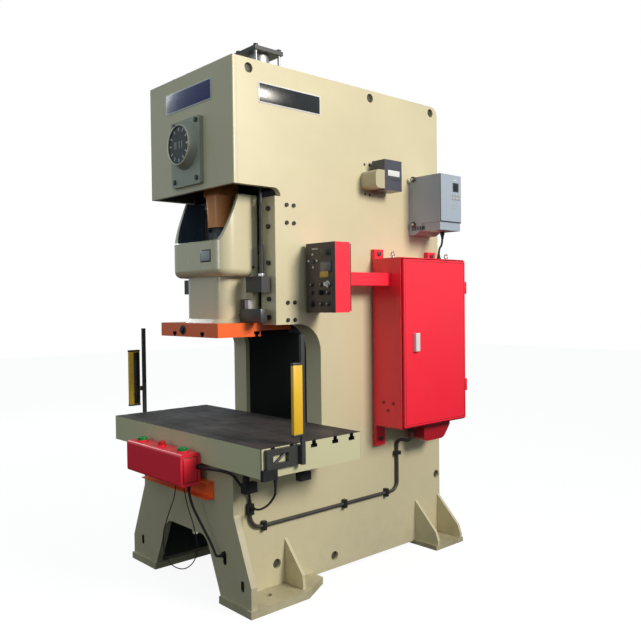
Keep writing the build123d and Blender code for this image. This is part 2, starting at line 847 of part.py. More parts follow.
# Drive shaft with its pinion and clutch disc
with BuildPart() as drive_shaft:
    with BuildSketch(Plane.XZ.offset(-gear_rear_y)):
        with Locations((0, drive_z)):
            add(gear_outline(pinion_teeth, 0, 90 + 180 / pinion_teeth))
    extrude(amount=gear_width)
    rod_along_y(0, drive_z, drive_radius, throat_y, flywheel_y + flywheel_width + 20)
    rod_along_y(0, drive_z, clutch_radius, crank_tail_y + 8, flywheel_y - 4)
save(drive_shaft, "drive_shaft")

# Flywheel: heavy rim, web and hub, running on the drive shaft
with BuildPart() as flywheel:
    rod_along_y(0, drive_z, flywheel_radius, flywheel_y, flywheel_y + flywheel_width)
    recess = (flywheel_width - flywheel_web) / 2
    for y0 in (flywheel_y, flywheel_y + flywheel_width - recess):
        rod_along_y(0, drive_z, flywheel_radius - 70, y0, y0 + recess, Mode.SUBTRACT)
    rod_along_y(0, drive_z, drive_radius + 45, flywheel_y, flywheel_y + flywheel_width)
    rod_along_y(
        0, drive_z, drive_radius + shaft_clearance, flywheel_y, flywheel_y + flywheel_width, Mode.SUBTRACT
    )
save(flywheel, "flywheel")

# Motor with fins and feet, on its shelf between the side plates
motor_y = throat_y + motor_front
motor_foot_z = motor_z - motor_radius - 24
with BuildPart() as motor:
    rod_along_y(0, motor_z, motor_radius, motor_y, motor_y + motor_length)
    with BuildSketch(Plane.XZ.offset(-motor_y - motor_length + 30)):
        with Locations((0, motor_z)):
            with PolarLocations(motor_radius + 4, 24):
                Rectangle(20, 5)
    extrude(amount=motor_length - 80)
    block(-110, 110, motor_y + 60, motor_y + 330, motor_foot_z, motor_z - 90)
    block(-inner_x, inner_x, motor_y - 20, motor_y + 420, motor_foot_z - 30, motor_foot_z)
save(motor, "motor")

# Pulley with the motor's shaft end
with BuildPart() as motor_pulley:
    y1 = flywheel_y + flywheel_width - 10
    rod_along_y(0, motor_z, pulley_radius, flywheel_y + 10, y1)
    rod_along_y(0, motor_z, motor_shaft_radius, y1, motor_y - running_gap)
save(motor_pulley, "motor_pulley")


def belt_loop(offset):
    """The outline of a belt round the flywheel and the motor pulley."""
    big = flywheel_radius + belt_gap + offset
    small = pulley_radius + belt_gap + offset
    lean = (big - small) / (drive_z - motor_z)
    across = sqrt(1 - lean**2)
    big_x = big * across
    big_y = drive_z - big * lean
    small_x = small * across
    small_y = motor_z - small * lean
    with BuildSketch() as outline:
        with BuildLine():
            ThreePointArc((-big_x, big_y), (0, drive_z + big), (big_x, big_y))
            Line((big_x, big_y), (small_x, small_y))
            ThreePointArc((small_x, small_y), (0, motor_z - small), (-small_x, small_y))
            Line((-small_x, small_y), (-big_x, big_y))
        make_face()
    return outline.sketch


with BuildPart() as drive_belts:
    for row in range(belt_count):
        rear_y = flywheel_y + 32 + row * belt_pitch
        with BuildSketch(Plane.XZ.offset(-rear_y)):
            add(belt_loop(belt_thickness))
            add(belt_loop(0), mode=Mode.SUBTRACT)
        extrude(amount=belt_width)
save(drive_belts, "drive_belts")

# Balance cylinders: barrels with feet, square top caps, tie rods, pistons with rods
with BuildPart() as balancer_barrels:
    for side in (-1, 1):
        x = side * balancer_x
        foot_z = barrel_bottom_z - barrel_foot_thickness
        rod_along_z(x, balancer_y, barrel_radius, foot_z, cap_bottom_z)
        rod_along_z(x, balancer_y, barrel_radius - barrel_wall, barrel_bottom_z, cap_bottom_z, Mode.SUBTRACT)
        rod_along_z(x, balancer_y, piston_rod_radius + 1, foot_z, barrel_bottom_z, Mode.SUBTRACT)
save(balancer_barrels, "balancer_barrels")

with BuildPart() as balancer_caps:
    half = cap_size / 2
    for side in (-1, 1):
        x = side * balancer_x
        block(x - half, x + half, balancer_y - half, balancer_y + half, cap_bottom_z, cap_top_z)
save(balancer_caps, "balancer_caps")

with BuildPart() as balancer_tie_rods:
    for side in (-1, 1):
        for dx in (-tie_rod_offset, tie_rod_offset):
            for dy in (-tie_rod_offset, tie_rod_offset):
                x = side * balancer_x + dx
                y = balancer_y + dy
                rod_along_z(x, y, tie_rod_radius, frame_height, cap_bottom_z)
                rod_along_z(x, y, 12, cap_top_z, cap_top_z + 10)
save(balancer_tie_rods, "balancer_tie_rods")

piston_top_z = cap_bottom_z - 8
with BuildPart() as balancer_rods:
    for side in (-1, 1):
        x = side * balancer_x
        piston_z = piston_top_z - piston_thickness
        rod_along_z(x, balancer_y, barrel_radius - barrel_wall - 0.5, piston_z, piston_top_z)
        rod_along_z(x, balancer_y, piston_rod_radius, sleeve_top_z, piston_z)
        rod_along_z(x, balancer_y, 13, lug_top_z + 20, sleeve_top_z)
        rod_along_z(x, balancer_y, 14, lug_top_z, lug_top_z + 20)
save(balancer_rods, "balancer_rods")

# Dial: bolted plate with a tapering round housing, and the disc on the crankshaft's end
with BuildPart() as dial_housing:
    block(
        -dial_plate_half_width,
        dial_plate_half_width,
        dial_plate_y,
        head_front_y,
        dial_plate_bottom_z,
        dial_plate_top_z,
    )
    fillet(dial_housing.edges().filter_by(Axis.Y), radius=10)
    with Locations((0, dial_plate_y - dial_depth / 2, crank_z)):
        Cone(dial_base_radius, dial_front_radius, dial_depth, rotation=(90, 0, 0))
    rod_along_y(0, crank_z, dial_radius + 2, dial_front_y, dial_front_y + 16, Mode.SUBTRACT)
    rod_along_y(0, crank_z, journal_radius + 5, dial_front_y, head_front_y, Mode.SUBTRACT)
    for x in (-118, 118):
        for z in (dial_plate_bottom_z + 34, dial_plate_top_z - 22):
            rod_along_y(x, z, 13, dial_plate_y - 8, dial_plate_y)
save(dial_housing, "dial_housing")

with BuildPart() as angle_dial:
    rod_along_y(0, crank_z, dial_radius, dial_front_y + 8 - dial_thickness, dial_front_y + 8)
save(angle_dial, "angle_dial")

# Control cabinet: folded shell, open to the right, with a cable hood below
with BuildPart() as cabinet_shell:
    block(cabinet_back_x, cabinet_face_x, cabinet_front_y, cabinet_rear_y, cabinet_bottom_z, cabinet_top_z)
    block(
        cabinet_back_x + sheet,
        cabinet_face_x,
        cabinet_front_y + sheet,
        cabinet_rear_y - sheet,
        cabinet_bottom_z + sheet,
        cabinet_top_z - sheet,
        Mode.SUBTRACT,
    )
    with BuildSketch(Plane.YZ.offset(cabinet_back_x)):
        with BuildLine():
            hood_front_y = throat_y + 760
            hood_rear_y = throat_y + 1030
            hood_z = 735
            FilletPolyline(
                (hood_front_y, cabinet_bottom_z),
                (hood_front_y, hood_z),
                (hood_rear_y - 70, hood_z),
                (hood_rear_y, cabinet_bottom_z - 40),
                (hood_rear_y, cabinet_bottom_z),
                radius=[0, 30, 60, 30, 0],
                close=True,
            )
        make_face()
    extrude(amount=hood_depth)
    for z in hinge_heights:
        rod_along_z(hinge_x, hinge_y, hinge_radius, z, z + hinge_length)
        block(cabinet_face_x - 30, hinge_x, cabinet_rear_y, hinge_y, z, z + hinge_length)
save(cabinet_shell, "cabinet_shell")

# Two rails carry the cabinet, each on two lugs bolted to the side plate
with BuildPart() as cabinet_rails:
    for y0 in (throat_y + 455, throat_y + 980):
        x0 = cabinet_back_x - rail_thickness
        block(x0, cabinet_back_x, y0, y0 + rail_width, rail_bottom_z, rail_top_z)
        for z0 in (rail_bottom_z, rail_top_z - 60):
            block(frame_half_width, x0, y0, y0 + rail_width, z0, z0 + 60)
save(cabinet_rails, "cabinet_rails")

# Mounting panel with the switchgear on it
with BuildPart() as cabinet_gear:
    x0 = cabinet_back_x + sheet
    z0 = cabinet_bottom_z + 60
    block(x0, x0 + 12, cabinet_front_y + 40, cabinet_rear_y - 40, z0, cabinet_top_z - 60)
    for column in range(4):
        for row in range(3):
            y0 = cabinet_front_y + 80 + column * 125
            z0 = cabinet_bottom_z + 160 + row * 290
            block(x0 + 12, x0 + 60, y0, y0 + 90, z0, z0 + 140)
save(cabinet_gear, "cabinet_gear")

# Door hinged at the rear, where its knuckles stand on the shell's; its lock handle turns
with BuildPart() as cabinet_door:
    block(
        door_x,
        door_x + door_thickness,
        cabinet_front_y + door_margin,
        cabinet_rear_y - door_margin,
        cabinet_bottom_z + door_margin,
        cabinet_top_z - door_margin,
    )
    fillet(cabinet_door.faces().sort_by(Axis.X)[-1].edges(), radius=3)
    rod_along_x(throat_y + handle_back, handle_z, 10, door_x, door_x + door_thickness, Mode.SUBTRACT)
    for z in hinge_heights:
        z0 = z + hinge_length + running_gap
        rod_along_z(hinge_x, hinge_y, hinge_radius, z0, z0 + hinge_length)
        block(hinge_x - 3, hinge_x + 3, cabinet_rear_y - door_margin, hinge_y, z0, z0 + hinge_length)
save(cabinet_door, "cabinet_door")

handle_x = door_x + door_thickness + running_gap
handle_y = throat_y + handle_back
with BuildPart() as door_handle:
    rod_along_x(handle_y, handle_z, 10 - shaft_clearance, door_x - 6, handle_x)
    block(
        handle_x,
        handle_x + handle_depth,
        handle_y - handle_width / 2,
        handle_y + handle_width / 2,
        handle_z - handle_height / 2,
        handle_z + handle_height / 2,
    )
    fillet(door_handle.faces().sort_by(Axis.X)[-1].edges(), radius=5)
save(door_handle, "door_handle")

# Operator panel: shallow box on an arm from the cabinet
control_columns = (panel_left_x + 49, panel_left_x + 131, panel_left_x + 186)
control_rows = (panel_bottom_z + 162, panel_bottom_z + 115, panel_bottom_z + 50)
with BuildPart() as panel_box:
    block(panel_left_x, panel_right_x, panel_front_y, panel_back_y, panel_bottom_z, panel_top_z)
    block(
        panel_left_x + 6,
        panel_right_x - 6,
        panel_back_y,
        panel_back_y + panel_lip,
        panel_bottom_z + 8,
        panel_top_z - 8,
    )
    x = control_columns[0]
    z = control_rows[2]
    rod_along_y(x, z, start_button_radius + 5, panel_front_y - bezel_height, panel_front_y)
    inner = start_button_radius + running_gap
    rod_along_y(x, z, inner, panel_front_y - bezel_height, panel_front_y, Mode.SUBTRACT)
save(panel_box, "panel_box")

with BuildPart() as panel_arm:
    block(
        arm_left_x,
        arm_left_x + arm_width,
        panel_back_y + panel_lip,
        cabinet_front_y,
        arm_bottom_z,
        arm_bottom_z + arm_height,
    )
    fillet(panel_arm.edges().filter_by(Axis.Y), radius=6)
save(panel_arm, "panel_arm")

# Controls on the panel's face that move: a push-button, a selector and a key switch
with BuildPart() as start_button:
    y1 = panel_front_y - button_travel - running_gap
    rod_along_y(control_columns[0], control_rows[2], start_button_radius, y1 - 12, y1)
    fillet(start_button.faces().sort_by(Axis.Y)[0].edges(), radius=2)
save(start_button, "start_button")

with BuildPart() as mode_selector:
    x = control_columns[1]
    z = control_rows[1]
    rod_along_y(x, z, 15, panel_front_y - 10, panel_front_y - running_gap)
    block(x - 4, x + 4, panel_front_y - 24, panel_front_y - 10, z - 14, z + 14)
save(mode_selector, "mode_selector")

with BuildPart() as key_switch:
    x = control_columns[2]
    z = control_rows[0]
    rod_along_y(x, z, 14, panel_front_y - 10, panel_front_y - running_gap)
    block(x - 2, x + 2, panel_front_y - 34, panel_front_y - 10, z - 10, z + 10)
save(key_switch, "key_switch")

# Inverter box on its finned base
with BuildPart() as inverter_box:
    front_y = throat_y + inverter_front
    rear_y = front_y + inverter_width
    right_x = inverter_left_x + inverter_depth
    block(inverter_left_x, right_x, front_y, rear_y, inverter_bottom_z + 53, inverter_top_z)
    block(inverter_left_x + 60, right_x - 6, front_y + 4, rear_y - 4, inverter_bottom_z, inverter_bottom_z + 53)
    with BuildSketch(Plane.XZ.offset(-rear_y)):
        with BuildLine():
            Polyline(
                (frame_half_width, inverter_top_z - 30),
                (frame_half_width, inverter_bottom_z - 20),
                (frame_half_width + 50, inverter_bottom_z - 20),
                (inverter_left_x + 60, inverter_bottom_z + 10),
                (inverter_left_x + 60, inverter_bottom_z + 53),
                (inverter_left_x, inverter_bottom_z + 53),
                (inverter_left_x, inverter_top_z - 30),
                (frame_half_width, inverter_top_z - 30),
            )
        make_face()
    extrude(amount=inverter_width)
save(inverter_box, "inverter_box")

# Cam switch: dark box on a bracket, with a rounded cover in front of it
with BuildPart() as cam_switch:
    front_y = throat_y + cam_box_front
    rear_y = throat_y + cam_box_rear
    block(cam_box_left_x, cam_box_right_x, front_y, rear_y, cam_box_bottom_z, cam_box_top_z)
    block(
        frame_half_width,
        cam_box_left_x,
        front_y + 20,
        rear_y - 20,
        cam_box_bottom_z + 30,
        cam_box_top_z - 50,
    )
    with BuildSketch(Plane.YZ.offset(frame_half_width)):
        with BuildLine():
            cover_radius = (cam_cover_top_z - cam_cover_bottom_z) / 2
            cover_y = throat_y + cam_cover_front
            FilletPolyline(
                (cover_y, cam_cover_bottom_z),
                (cover_y, cam_cover_top_z),
                (front_y, cam_cover_top_z),
                (front_y, cam_cover_bottom_z),
                radius=[30, 30, 0, 0],
                close=True,
            )
        make_face()
    extrude(amount=cam_box_right_x - frame_half_width)
save(cam_switch, "cam_switch")

# Light curtains: brackets on the table's ends with their posts, and a sensor bar on each post
bracket_bottom_z = table_height - 105
bracket_top_z = table_height - 6
post_y = curtain_bar_y + curtain_bar_width / 2
with BuildPart() as curtain_brackets:
    for side in (-1, 1):
        end = side * table_half_width
        plate_x = end + side * 24
        block(end, plate_x, throat_y - 690, throat_y - 651, bracket_bottom_z, bracket_top_z)
        for z0 in (bracket_bottom_z, bracket_top_z - 26):
            block(end, plate_x, throat_y - 651, throat_y - 462, z0, z0 + 26)
        block(end, plate_x, throat_y - 549, throat_y - 462, bracket_bottom_z + 26, bracket_top_z - 26)
        block(plate_x, side * (curtain_x + 8), post_y, post_y + 24, bracket_bottom_z, bracket_top_z)
        x = side * curtain_x
        block(x - 8, x + 8, post_y, post_y + 24, bracket_bottom_z, curtain_post_top_z)
save(curtain_brackets, "curtain_brackets")

with BuildPart() as light_curtains:
    half_x = curtain_bar_depth / 2
    half_y = curtain_bar_width / 2
    for side in (-1, 1):
        x = side * curtain_x
        block(x - half_x, x + half_x, curtain_bar_y - half_y, curtain_bar_y + half_y, curtain_bottom_z, curtain_top_z)
save(light_curtains, "light_curtains")

# Two-hand station: box with two palm buttons and a stop button
station_buttons = (
    ("palm_button_left", station_left_x + 80, 30.0, 20.0),
    ("palm_button_right", station_right_x - 80, 30.0, 20.0),
    ("station_stop_button", (station_left_x + station_right_x) / 2, 22.0, 26.0),
)
station_back_y = throat_y - station_back
station_front_y = station_back_y - station_depth
station_middle_y = station_back_y - station_depth / 2
with BuildPart() as station_box:
    block(station_left_x, station_right_x, station_front_y, station_back_y, station_bottom_z, station_top_z)
    fillet(station_box.edges().filter_by(Axis.X), radius=16)
    for button_name, x, radius, height in station_buttons:
        z1 = station_top_z + bezel_height
        rod_along_z(x, station_middle_y, radius + 6, station_top_z, z1)
        rod_along_z(x, station_middle_y, radius + running_gap, station_top_z, z1, Mode.SUBTRACT)
save(station_box, "station_box")

for button_name, x, radius, height in station_buttons:
    with BuildPart() as button:
        z0 = station_top_z + button_travel + running_gap
        rod_along_z(x, station_middle_y, radius, z0, z0 + height)
        fillet(button.faces().sort_by(Axis.Z)[-1].edges(), radius=5)
    save(button, button_name)

# Station bracket: a channel on the leg plate, open towards the front
channel_top_z = station_bottom_z + 18
with BuildPart() as station_bracket:
    with BuildSketch(Plane.YZ.offset(station_left_x - 58)):
        with BuildLine():
            Polyline(
                (leg_front_y, channel_top_z),
                (station_back_y, channel_top_z),
                (station_back_y, channel_top_z - channel_wall),
                (leg_front_y - channel_wall, channel_top_z - channel_wall),
                (leg_front_y - channel_wall, channel_top_z - channel_height + channel_wall),
                (station_back_y, channel_top_z - channel_height + channel_wall),
                (station_back_y, channel_top_z - channel_height),
                (leg_front_y, channel_top_z - channel_height),
                (leg_front_y, channel_top_z),
            )
        make_face()
    extrude(amount=station_right_x - station_left_x + 119)
save(station_bracket, "station_bracket")

# Rigid conduit clipped along the side plate, from the tee under the table to the cabinet
conduit_radius = 11.0
clip_hole_radius = conduit_radius + shaft_clearance
conduit_z = 408.0
conduit_x = frame_half_width + conduit_radius + 3
tee_y = throat_y - 540
tee_z = 488
conduit_rise_y = throat_y + 669
conduit_gland_y = throat_y + 702
conduit_gland_x = frame_half_width + 113
with BuildPart() as conduit:
    with BuildLine() as conduit_path:
        FilletPolyline(
            (conduit_x, tee_y, tee_z),
            (conduit_x, tee_y, conduit_z),
            (conduit_x, conduit_rise_y, conduit_z),
            (conduit_x, conduit_rise_y, 745),
            (conduit_gland_x, conduit_gland_y, 736),
            (conduit_gland_x, conduit_gland_y, 800),
            radius=[75, 60, 36, 36],
        )
    with BuildSketch(Plane(origin=conduit_path.line @ 0, z_dir=conduit_path.line % 0)):
        Circle(conduit_radius)
    sweep()
save(conduit, "conduit")

# Cord ends: where each cord meets its gland, and the cord's radius
cord_radius = 7.0
thin_cord_radius = 3.0
gland_radius = 15.0
tee_top_z = tee_z + 60
tee_branch_x = conduit_x + 30
branch_z = tee_z + 40
curtain_box_z = bracket_bottom_z - 55
leg_hole = (leg_slot_x - 1, leg_front_y, 281.0)
station_gland = (185.0, station_back_y - 40, station_bottom_z - 18)
station_end = (station_right_x + 16, station_back_y - 16, table_height - 168)
curtain_gland = (table_half_width + 12, throat_y - 630, curtain_box_z - 14)
curtain_box_y = throat_y - 670
inverter_gland = (frame_half_width + 157, throat_y + 985, inverter_bottom_z - 20)
cabinet_gland = (frame_half_width + 149, throat_y + 955, cabinet_top_z + 16)

# Fittings: the conduit's clips, its tee, and the glands that the cords come out of
with BuildPart() as fittings:
    clip_x = conduit_x + conduit_radius + 3
    for y in (throat_y - 445, throat_y + 183, throat_y + 560):
        block(frame_half_width, clip_x, y - 12, y + 12, conduit_z - 26, conduit_z + 26)
        rod_along_y(conduit_x, conduit_z, clip_hole_radius, y - 12, y + 12, Mode.SUBTRACT)
    block(frame_half_width, clip_x, conduit_rise_y - 26, conduit_rise_y + 26, 640, 664)
    rod_along_z(conduit_x, conduit_rise_y, clip_hole_radius, 640, 664, Mode.SUBTRACT)
    block(frame_half_width, conduit_x + 16, tee_y - 18, tee_y + 18, tee_z, tee_top_z)
    rod_along_x(tee_y, branch_z, gland_radius - 3, conduit_x + 16, tee_branch_x)
    rod_along_z(conduit_gland_x, conduit_gland_y, gland_radius + 4, 800, cabinet_bottom_z)
    with Locations((leg_hole[0], leg_front_y - 5, leg_hole[2])):
        Cylinder(gland_radius + 2, 10, rotation=(90, 0, 0))
    rod_along_z(station_gland[0], station_gland[1], gland_radius, station_gland[2], station_bottom_z)
    rod_along_x(station_end[1], station_end[2], gland_radius, station_right_x, station_end[0])
    x0 = curtain_gland[0]
    block(x0 - 12, x0 + 12, curtain_box_y - 46, curtain_box_y + 46, curtain_box_z, bracket_bottom_z)
    rod_along_z(x0, curtain_gland[1], gland_radius - 4, curtain_gland[2], curtain_box_z)
    # Air line stubs under the table
    block(640, 660, throat_y - 320, throat_y - 300, table_bottom_z - 47, table_bottom_z)
    block(630, 670, throat_y - 350, throat_y - 272, table_bottom_z - 93, table_bottom_z - 47)
    block(590, 610, throat_y - 680, throat_y - 650, table_bottom_z - 58, table_bottom_z)
    block(580, 620, throat_y - 685, throat_y - 606, table_bottom_z - 112, table_bottom_z - 58)
    rod_along_z(inverter_gland[0], inverter_gland[1], gland_radius, inverter_gland[2], inverter_bottom_z)
    rod_along_z(cabinet_gland[0], cabinet_gland[1], gland_radius, cabinet_top_z, cabinet_gland[2])
save(fittings, "fittings")

# Cords that hang free, each from gland to gland
cords = (
    (
        "control_cord",
        cord_radius,
        (
            station_gland,
            (station_gland[0], station_gland[1], 560),
            (262, leg_front_y - 52, 415),
            (325, leg_front_y - 32, 320),
            (375, leg_front_y - 45, 283),
            (leg_hole[0], leg_front_y - 45, leg_hole[2]),
            (leg_hole[0], leg_front_y - 10, leg_hole[2]),
        ),
    ),
    (
        "table_cord",
        cord_radius,
        (
            station_end,
            (330, station_end[1], station_end[2]),
            (430, station_end[1] + 37, station_end[2] - 2),
            (535, station_end[1] + 37, station_end[2] - 4),
            (506, tee_y - 80, 655),
            (conduit_x, tee_y, 610),
            (conduit_x, tee_y, tee_top_z),
        ),
    ),
    (
        "curtain_cord",
        cord_radius - 1,
        (
            curtain_gland,
            (curtain_gland[0], curtain_gland[1], 700),
            (790, curtain_gland[1] + 5, 670),
            (700, curtain_gland[1] + 35, 600),
            (570, tee_y - 10, 540),
            (520, tee_y, branch_z),
            (tee_branch_x, tee_y, branch_z),
        ),
    ),
    (
        "inverter_cord",
        cord_radius,
        (
            inverter_gland,
            (inverter_gland[0], inverter_gland[1], inverter_bottom_z - 87),
            (cabinet_gland[0], cabinet_gland[1], cabinet_top_z + 78),
            cabinet_gland,
        ),
    ),
    (
        "thin_cord",
        thin_cord_radius,
        (
            (110, station_back_y - 30, station_bottom_z),
            (125, station_back_y - 27, 540),
            (200, station_back_y - 7, 380),
            (215, station_back_y - 5, 230),
            (60, station_back_y - 2, 110),
            (-130, station_back_y - 2, 110),
            (-190, station_back_y - 5, 240),
            (-90, station_back_y - 12, 420),
            (30, station_back_y - 30, 560),
            (30, station_back_y - 30, station_bottom_z),
        ),
    ),
)


def bend_radii(points):
    """A bend radius for each inner point, from its shorter run and its turn."""
    radii = []
    for before, here, after in zip(points, points[1:], points[2:]):
        first = Vector(*here) - Vector(*before)
        second = Vector(*after) - Vector(*here)
        turn = radians(first.get_angle(second))
        radii.append(0.45 * min(first.length, second.length) / tan(turn / 2))
    return radii


for cord_name, radius, points in cords:
    with BuildPart() as cord:
        with BuildLine() as cord_path:
            FilletPolyline(*points, radius=bend_radii(points))
        with BuildSketch(Plane(origin=cord_path.line @ 0, z_dir=cord_path.line % 0)):
            Circle(radius)
        sweep()
    save(cord, cord_name)
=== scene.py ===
from math import cos, radians, sin

import bpy
from mathutils import Matrix, Vector


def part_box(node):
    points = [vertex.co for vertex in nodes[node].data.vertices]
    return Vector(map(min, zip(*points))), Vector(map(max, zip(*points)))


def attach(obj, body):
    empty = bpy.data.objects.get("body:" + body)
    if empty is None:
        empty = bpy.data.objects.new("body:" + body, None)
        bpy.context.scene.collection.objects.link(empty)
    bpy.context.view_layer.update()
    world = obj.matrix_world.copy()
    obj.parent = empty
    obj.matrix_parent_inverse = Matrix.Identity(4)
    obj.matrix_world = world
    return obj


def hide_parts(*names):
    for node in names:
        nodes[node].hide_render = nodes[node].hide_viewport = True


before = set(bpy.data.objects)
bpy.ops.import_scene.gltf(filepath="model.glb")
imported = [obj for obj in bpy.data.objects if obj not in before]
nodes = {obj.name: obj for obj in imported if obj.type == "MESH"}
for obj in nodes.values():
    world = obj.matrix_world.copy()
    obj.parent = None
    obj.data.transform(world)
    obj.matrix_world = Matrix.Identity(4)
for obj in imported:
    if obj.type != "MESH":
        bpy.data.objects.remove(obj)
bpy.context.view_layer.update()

throat_y = -0.255  # the throat's back wall, from which places along Y are counted


# Finishes


def new_material(name):
    """A material with a Principled shader, and its node tree and shader."""
    material = bpy.data.materials.new(name)
    material.use_nodes = True
    tree = material.node_tree
    shader = tree.nodes["Principled BSDF"]
    return material, tree, shader


def object_place(tree):
    return tree.nodes.new("ShaderNodeTexCoord").outputs["Object"]


def place_axes(tree):
    """The place on the object as X, Y and Z outputs."""
    parts = tree.nodes.new("ShaderNodeSeparateXYZ")
    tree.links.new(object_place(tree), parts.inputs["Vector"])
    return parts.outputs


def noise(tree, place, scale, detail=3.0, roughness=0.5):
    texture = tree.nodes.new("ShaderNodeTexNoise")
    texture.inputs["Scale"].default_value = scale
    texture.inputs["Detail"].default_value = detail
    texture.inputs["Roughness"].default_value = roughness
    tree.links.new(place, texture.inputs["Vector"])
    return texture.outputs["Fac"]


def ramp(tree, value, stops):
    """A colour ramp over a value; each stop is a place and a colour."""
    node = tree.nodes.new("ShaderNodeValToRGB")
    elements = node.color_ramp.elements
    while len(elements) < len(stops):
        elements.new(0.5)
    for element, (place, colour) in zip(elements, stops):
        element.position = place
        element.color = (*colour, 1.0)
    tree.links.new(value, node.inputs["Fac"])
    return node.outputs["Color"]


def value_range(tree, value, low, high, out_low, out_high):
    node = tree.nodes.new("ShaderNodeMapRange")
    node.inputs["From Min"].default_value = low
    node.inputs["From Max"].default_value = high
    node.inputs["To Min"].default_value = out_low
    node.inputs["To Max"].default_value = out_high
    tree.links.new(value, node.inputs["Value"])
    return node.outputs["Result"]


def mix_colours(tree, amount, first, second, blend="MIX"):
    node = tree.nodes.new("ShaderNodeMix")
    node.data_type = "RGBA"
    node.blend_type = blend
    for source, socket_name in ((amount, "Factor"), (first, "A"), (second, "B")):
        socket = node.inputs[socket_name]
        if hasattr(source, "is_output"):
            tree.links.new(source, socket)
        elif isinstance(source, (int, float)):
            socket.default_value = source
        else:
            socket.default_value = (*source, 1.0)
    return node.outputs["Result"]


def arithmetic(tree, operation, first, second):
    node = tree.nodes.new("ShaderNodeMath")
    node.operation = operation
    for source, socket in ((first, node.inputs[0]), (second, node.inputs[1])):
        if hasattr(source, "is_output"):
            tree.links.new(source, socket)
        else:
            socket.default_value = source
    return node.outputs["Value"]


def all_of(tree, *masks):
    """1 where every mask is 1."""
    result = masks[0]
    for mask in masks[1:]:
        result = arithmetic(tree, "MULTIPLY", result, mask)
    return result


def any_of(tree, *masks):
    """1 where at least one mask is 1."""
    result = masks[0]
    for mask in masks[1:]:
        result = arithmetic(tree, "MAXIMUM", result, mask)
    return result


def near(tree, value, middle, reach):
    """1 where the value is less than reach away from the middle."""
    away = arithmetic(tree, "ABSOLUTE", arithmetic(tree, "SUBTRACT", value, middle), 0.0)
    return arithmetic(tree, "LESS_THAN", away, reach)


def paint_over(material, mask, colour):
    """Gives an enamel another colour where the mask is 1."""
    tree = material.node_tree
    shader = tree.nodes["Principled BSDF"]
    paint = shader.inputs["Base Color"].links[0].from_socket
    tree.links.new(mix_colours(tree, mask, paint, colour), shader.inputs["Base Color"])


def bump(tree, shader, height, strength, distance):
    node = tree.nodes.new("ShaderNodeBump")
    node.inputs["Strength"].default_value = strength
    node.inputs["Distance"].default_value = distance
    tree.links.new(height, node.inputs["Height"])
    tree.links.new(node.outputs["Normal"], shader.inputs["Normal"])


def shade(colour, factor):
    return tuple(channel * factor for channel in colour)


def enamel(name, colour, gloss=0.3, mottle=0.05, peel=0.12, grime=0.25, coat=0.2):
    """Sprayed enamel over steel: slow colour drift, orange peel, dust, and grime near the floor."""
    material, tree, shader = new_material(name)
    place = object_place(tree)
    drift = noise(tree, place, 1.7, 4.0)
    paint = ramp(tree, drift, ((0.3, shade(colour, 1 - mottle)), (0.7, shade(colour, 1 + mottle))))
    low = value_range(tree, place_axes(tree)["Z"], 0.0, 0.5, grime, 0.0)
    smudge = noise(tree, place, 9.0, 6.0, 0.65)
    patchy = value_range(tree, smudge, 0.45, 0.75, 0.0, 1.0)
    dirty = arithmetic(tree, "MULTIPLY", low, patchy)
    paint = mix_colours(tree, dirty, paint, shade(colour, 0.45))
    tree.links.new(paint, shader.inputs["Base Color"])
    rough = value_range(tree, smudge, 0.2, 0.8, gloss - 0.05, gloss + 0.12)
    tree.links.new(rough, shader.inputs["Roughness"])
    shader.inputs["Coat Weight"].default_value = coat
    shader.inputs["Coat Roughness"].default_value = 0.15
    bump(tree, shader, noise(tree, place, 420.0, 2.0), peel, 0.0004)
    return material


def mark_band(material, axis, low, high, colour):
    """Paints a band between two places along an axis, such as a weld seam or a cover."""
    tree = material.node_tree
    along = place_axes(tree)[axis]
    above = arithmetic(tree, "GREATER_THAN", along, low)
    below = arithmetic(tree, "LESS_THAN", along, high)
    paint_over(material, all_of(tree, above, below), colour)


def machined(name, colour, rough=0.35, grain=(1.0, 60.0, 60.0), stain=0.35):
    """Ground or milled steel: fine lines along one direction, with oily stains."""
    material, tree, shader = new_material(name)
    place = object_place(tree)
    mapping = tree.nodes.new("ShaderNodeMapping")
    mapping.inputs["Scale"].default_value = grain
    tree.links.new(place, mapping.inputs["Vector"])
    lines = noise(tree, mapping.outputs["Vector"], 14.0, 5.0, 0.7)
    stains = noise(tree, place, 5.0, 6.0, 0.7)
    metal = ramp(tree, stains, ((0.35, shade(colour, 1 - stain)), (0.65, colour)))
    scratches = ramp(tree, lines, ((0.3, (0.6, 0.6, 0.6)), (0.7, (1.0, 1.0, 1.0))))
    metal = mix_colours(tree, 0.35, metal, scratches, "MULTIPLY")
    tree.links.new(metal, shader.inputs["Base Color"])
    shader.inputs["Metallic"].default_value = 1.0
    tree.links.new(value_range(tree, stains, 0.3, 0.7, rough + 0.15, rough), shader.inputs["Roughness"])
    bump(tree, shader, lines, 0.15, 0.0003)
    return material


def moulded(name, colour, rough=0.5, grain=900.0, depth=0.2):
    """Moulded plastic or rubber with a fine, even grain."""
    material, tree, shader = new_material(name)
    place = object_place(tree)
    patches = noise(tree, place, 22.0, 4.0)
    shades = ramp(tree, patches, ((0.3, shade(colour, 0.88)), (0.7, shade(colour, 1.1))))
    tree.links.new(shades, shader.inputs["Base Color"])
    uneven = value_range(tree, patches, 0.3, 0.7, rough - 0.06, rough + 0.08)
    tree.links.new(uneven, shader.inputs["Roughness"])
    bump(tree, shader, noise(tree, place, grain, 2.0), depth, 0.0002)
    return material


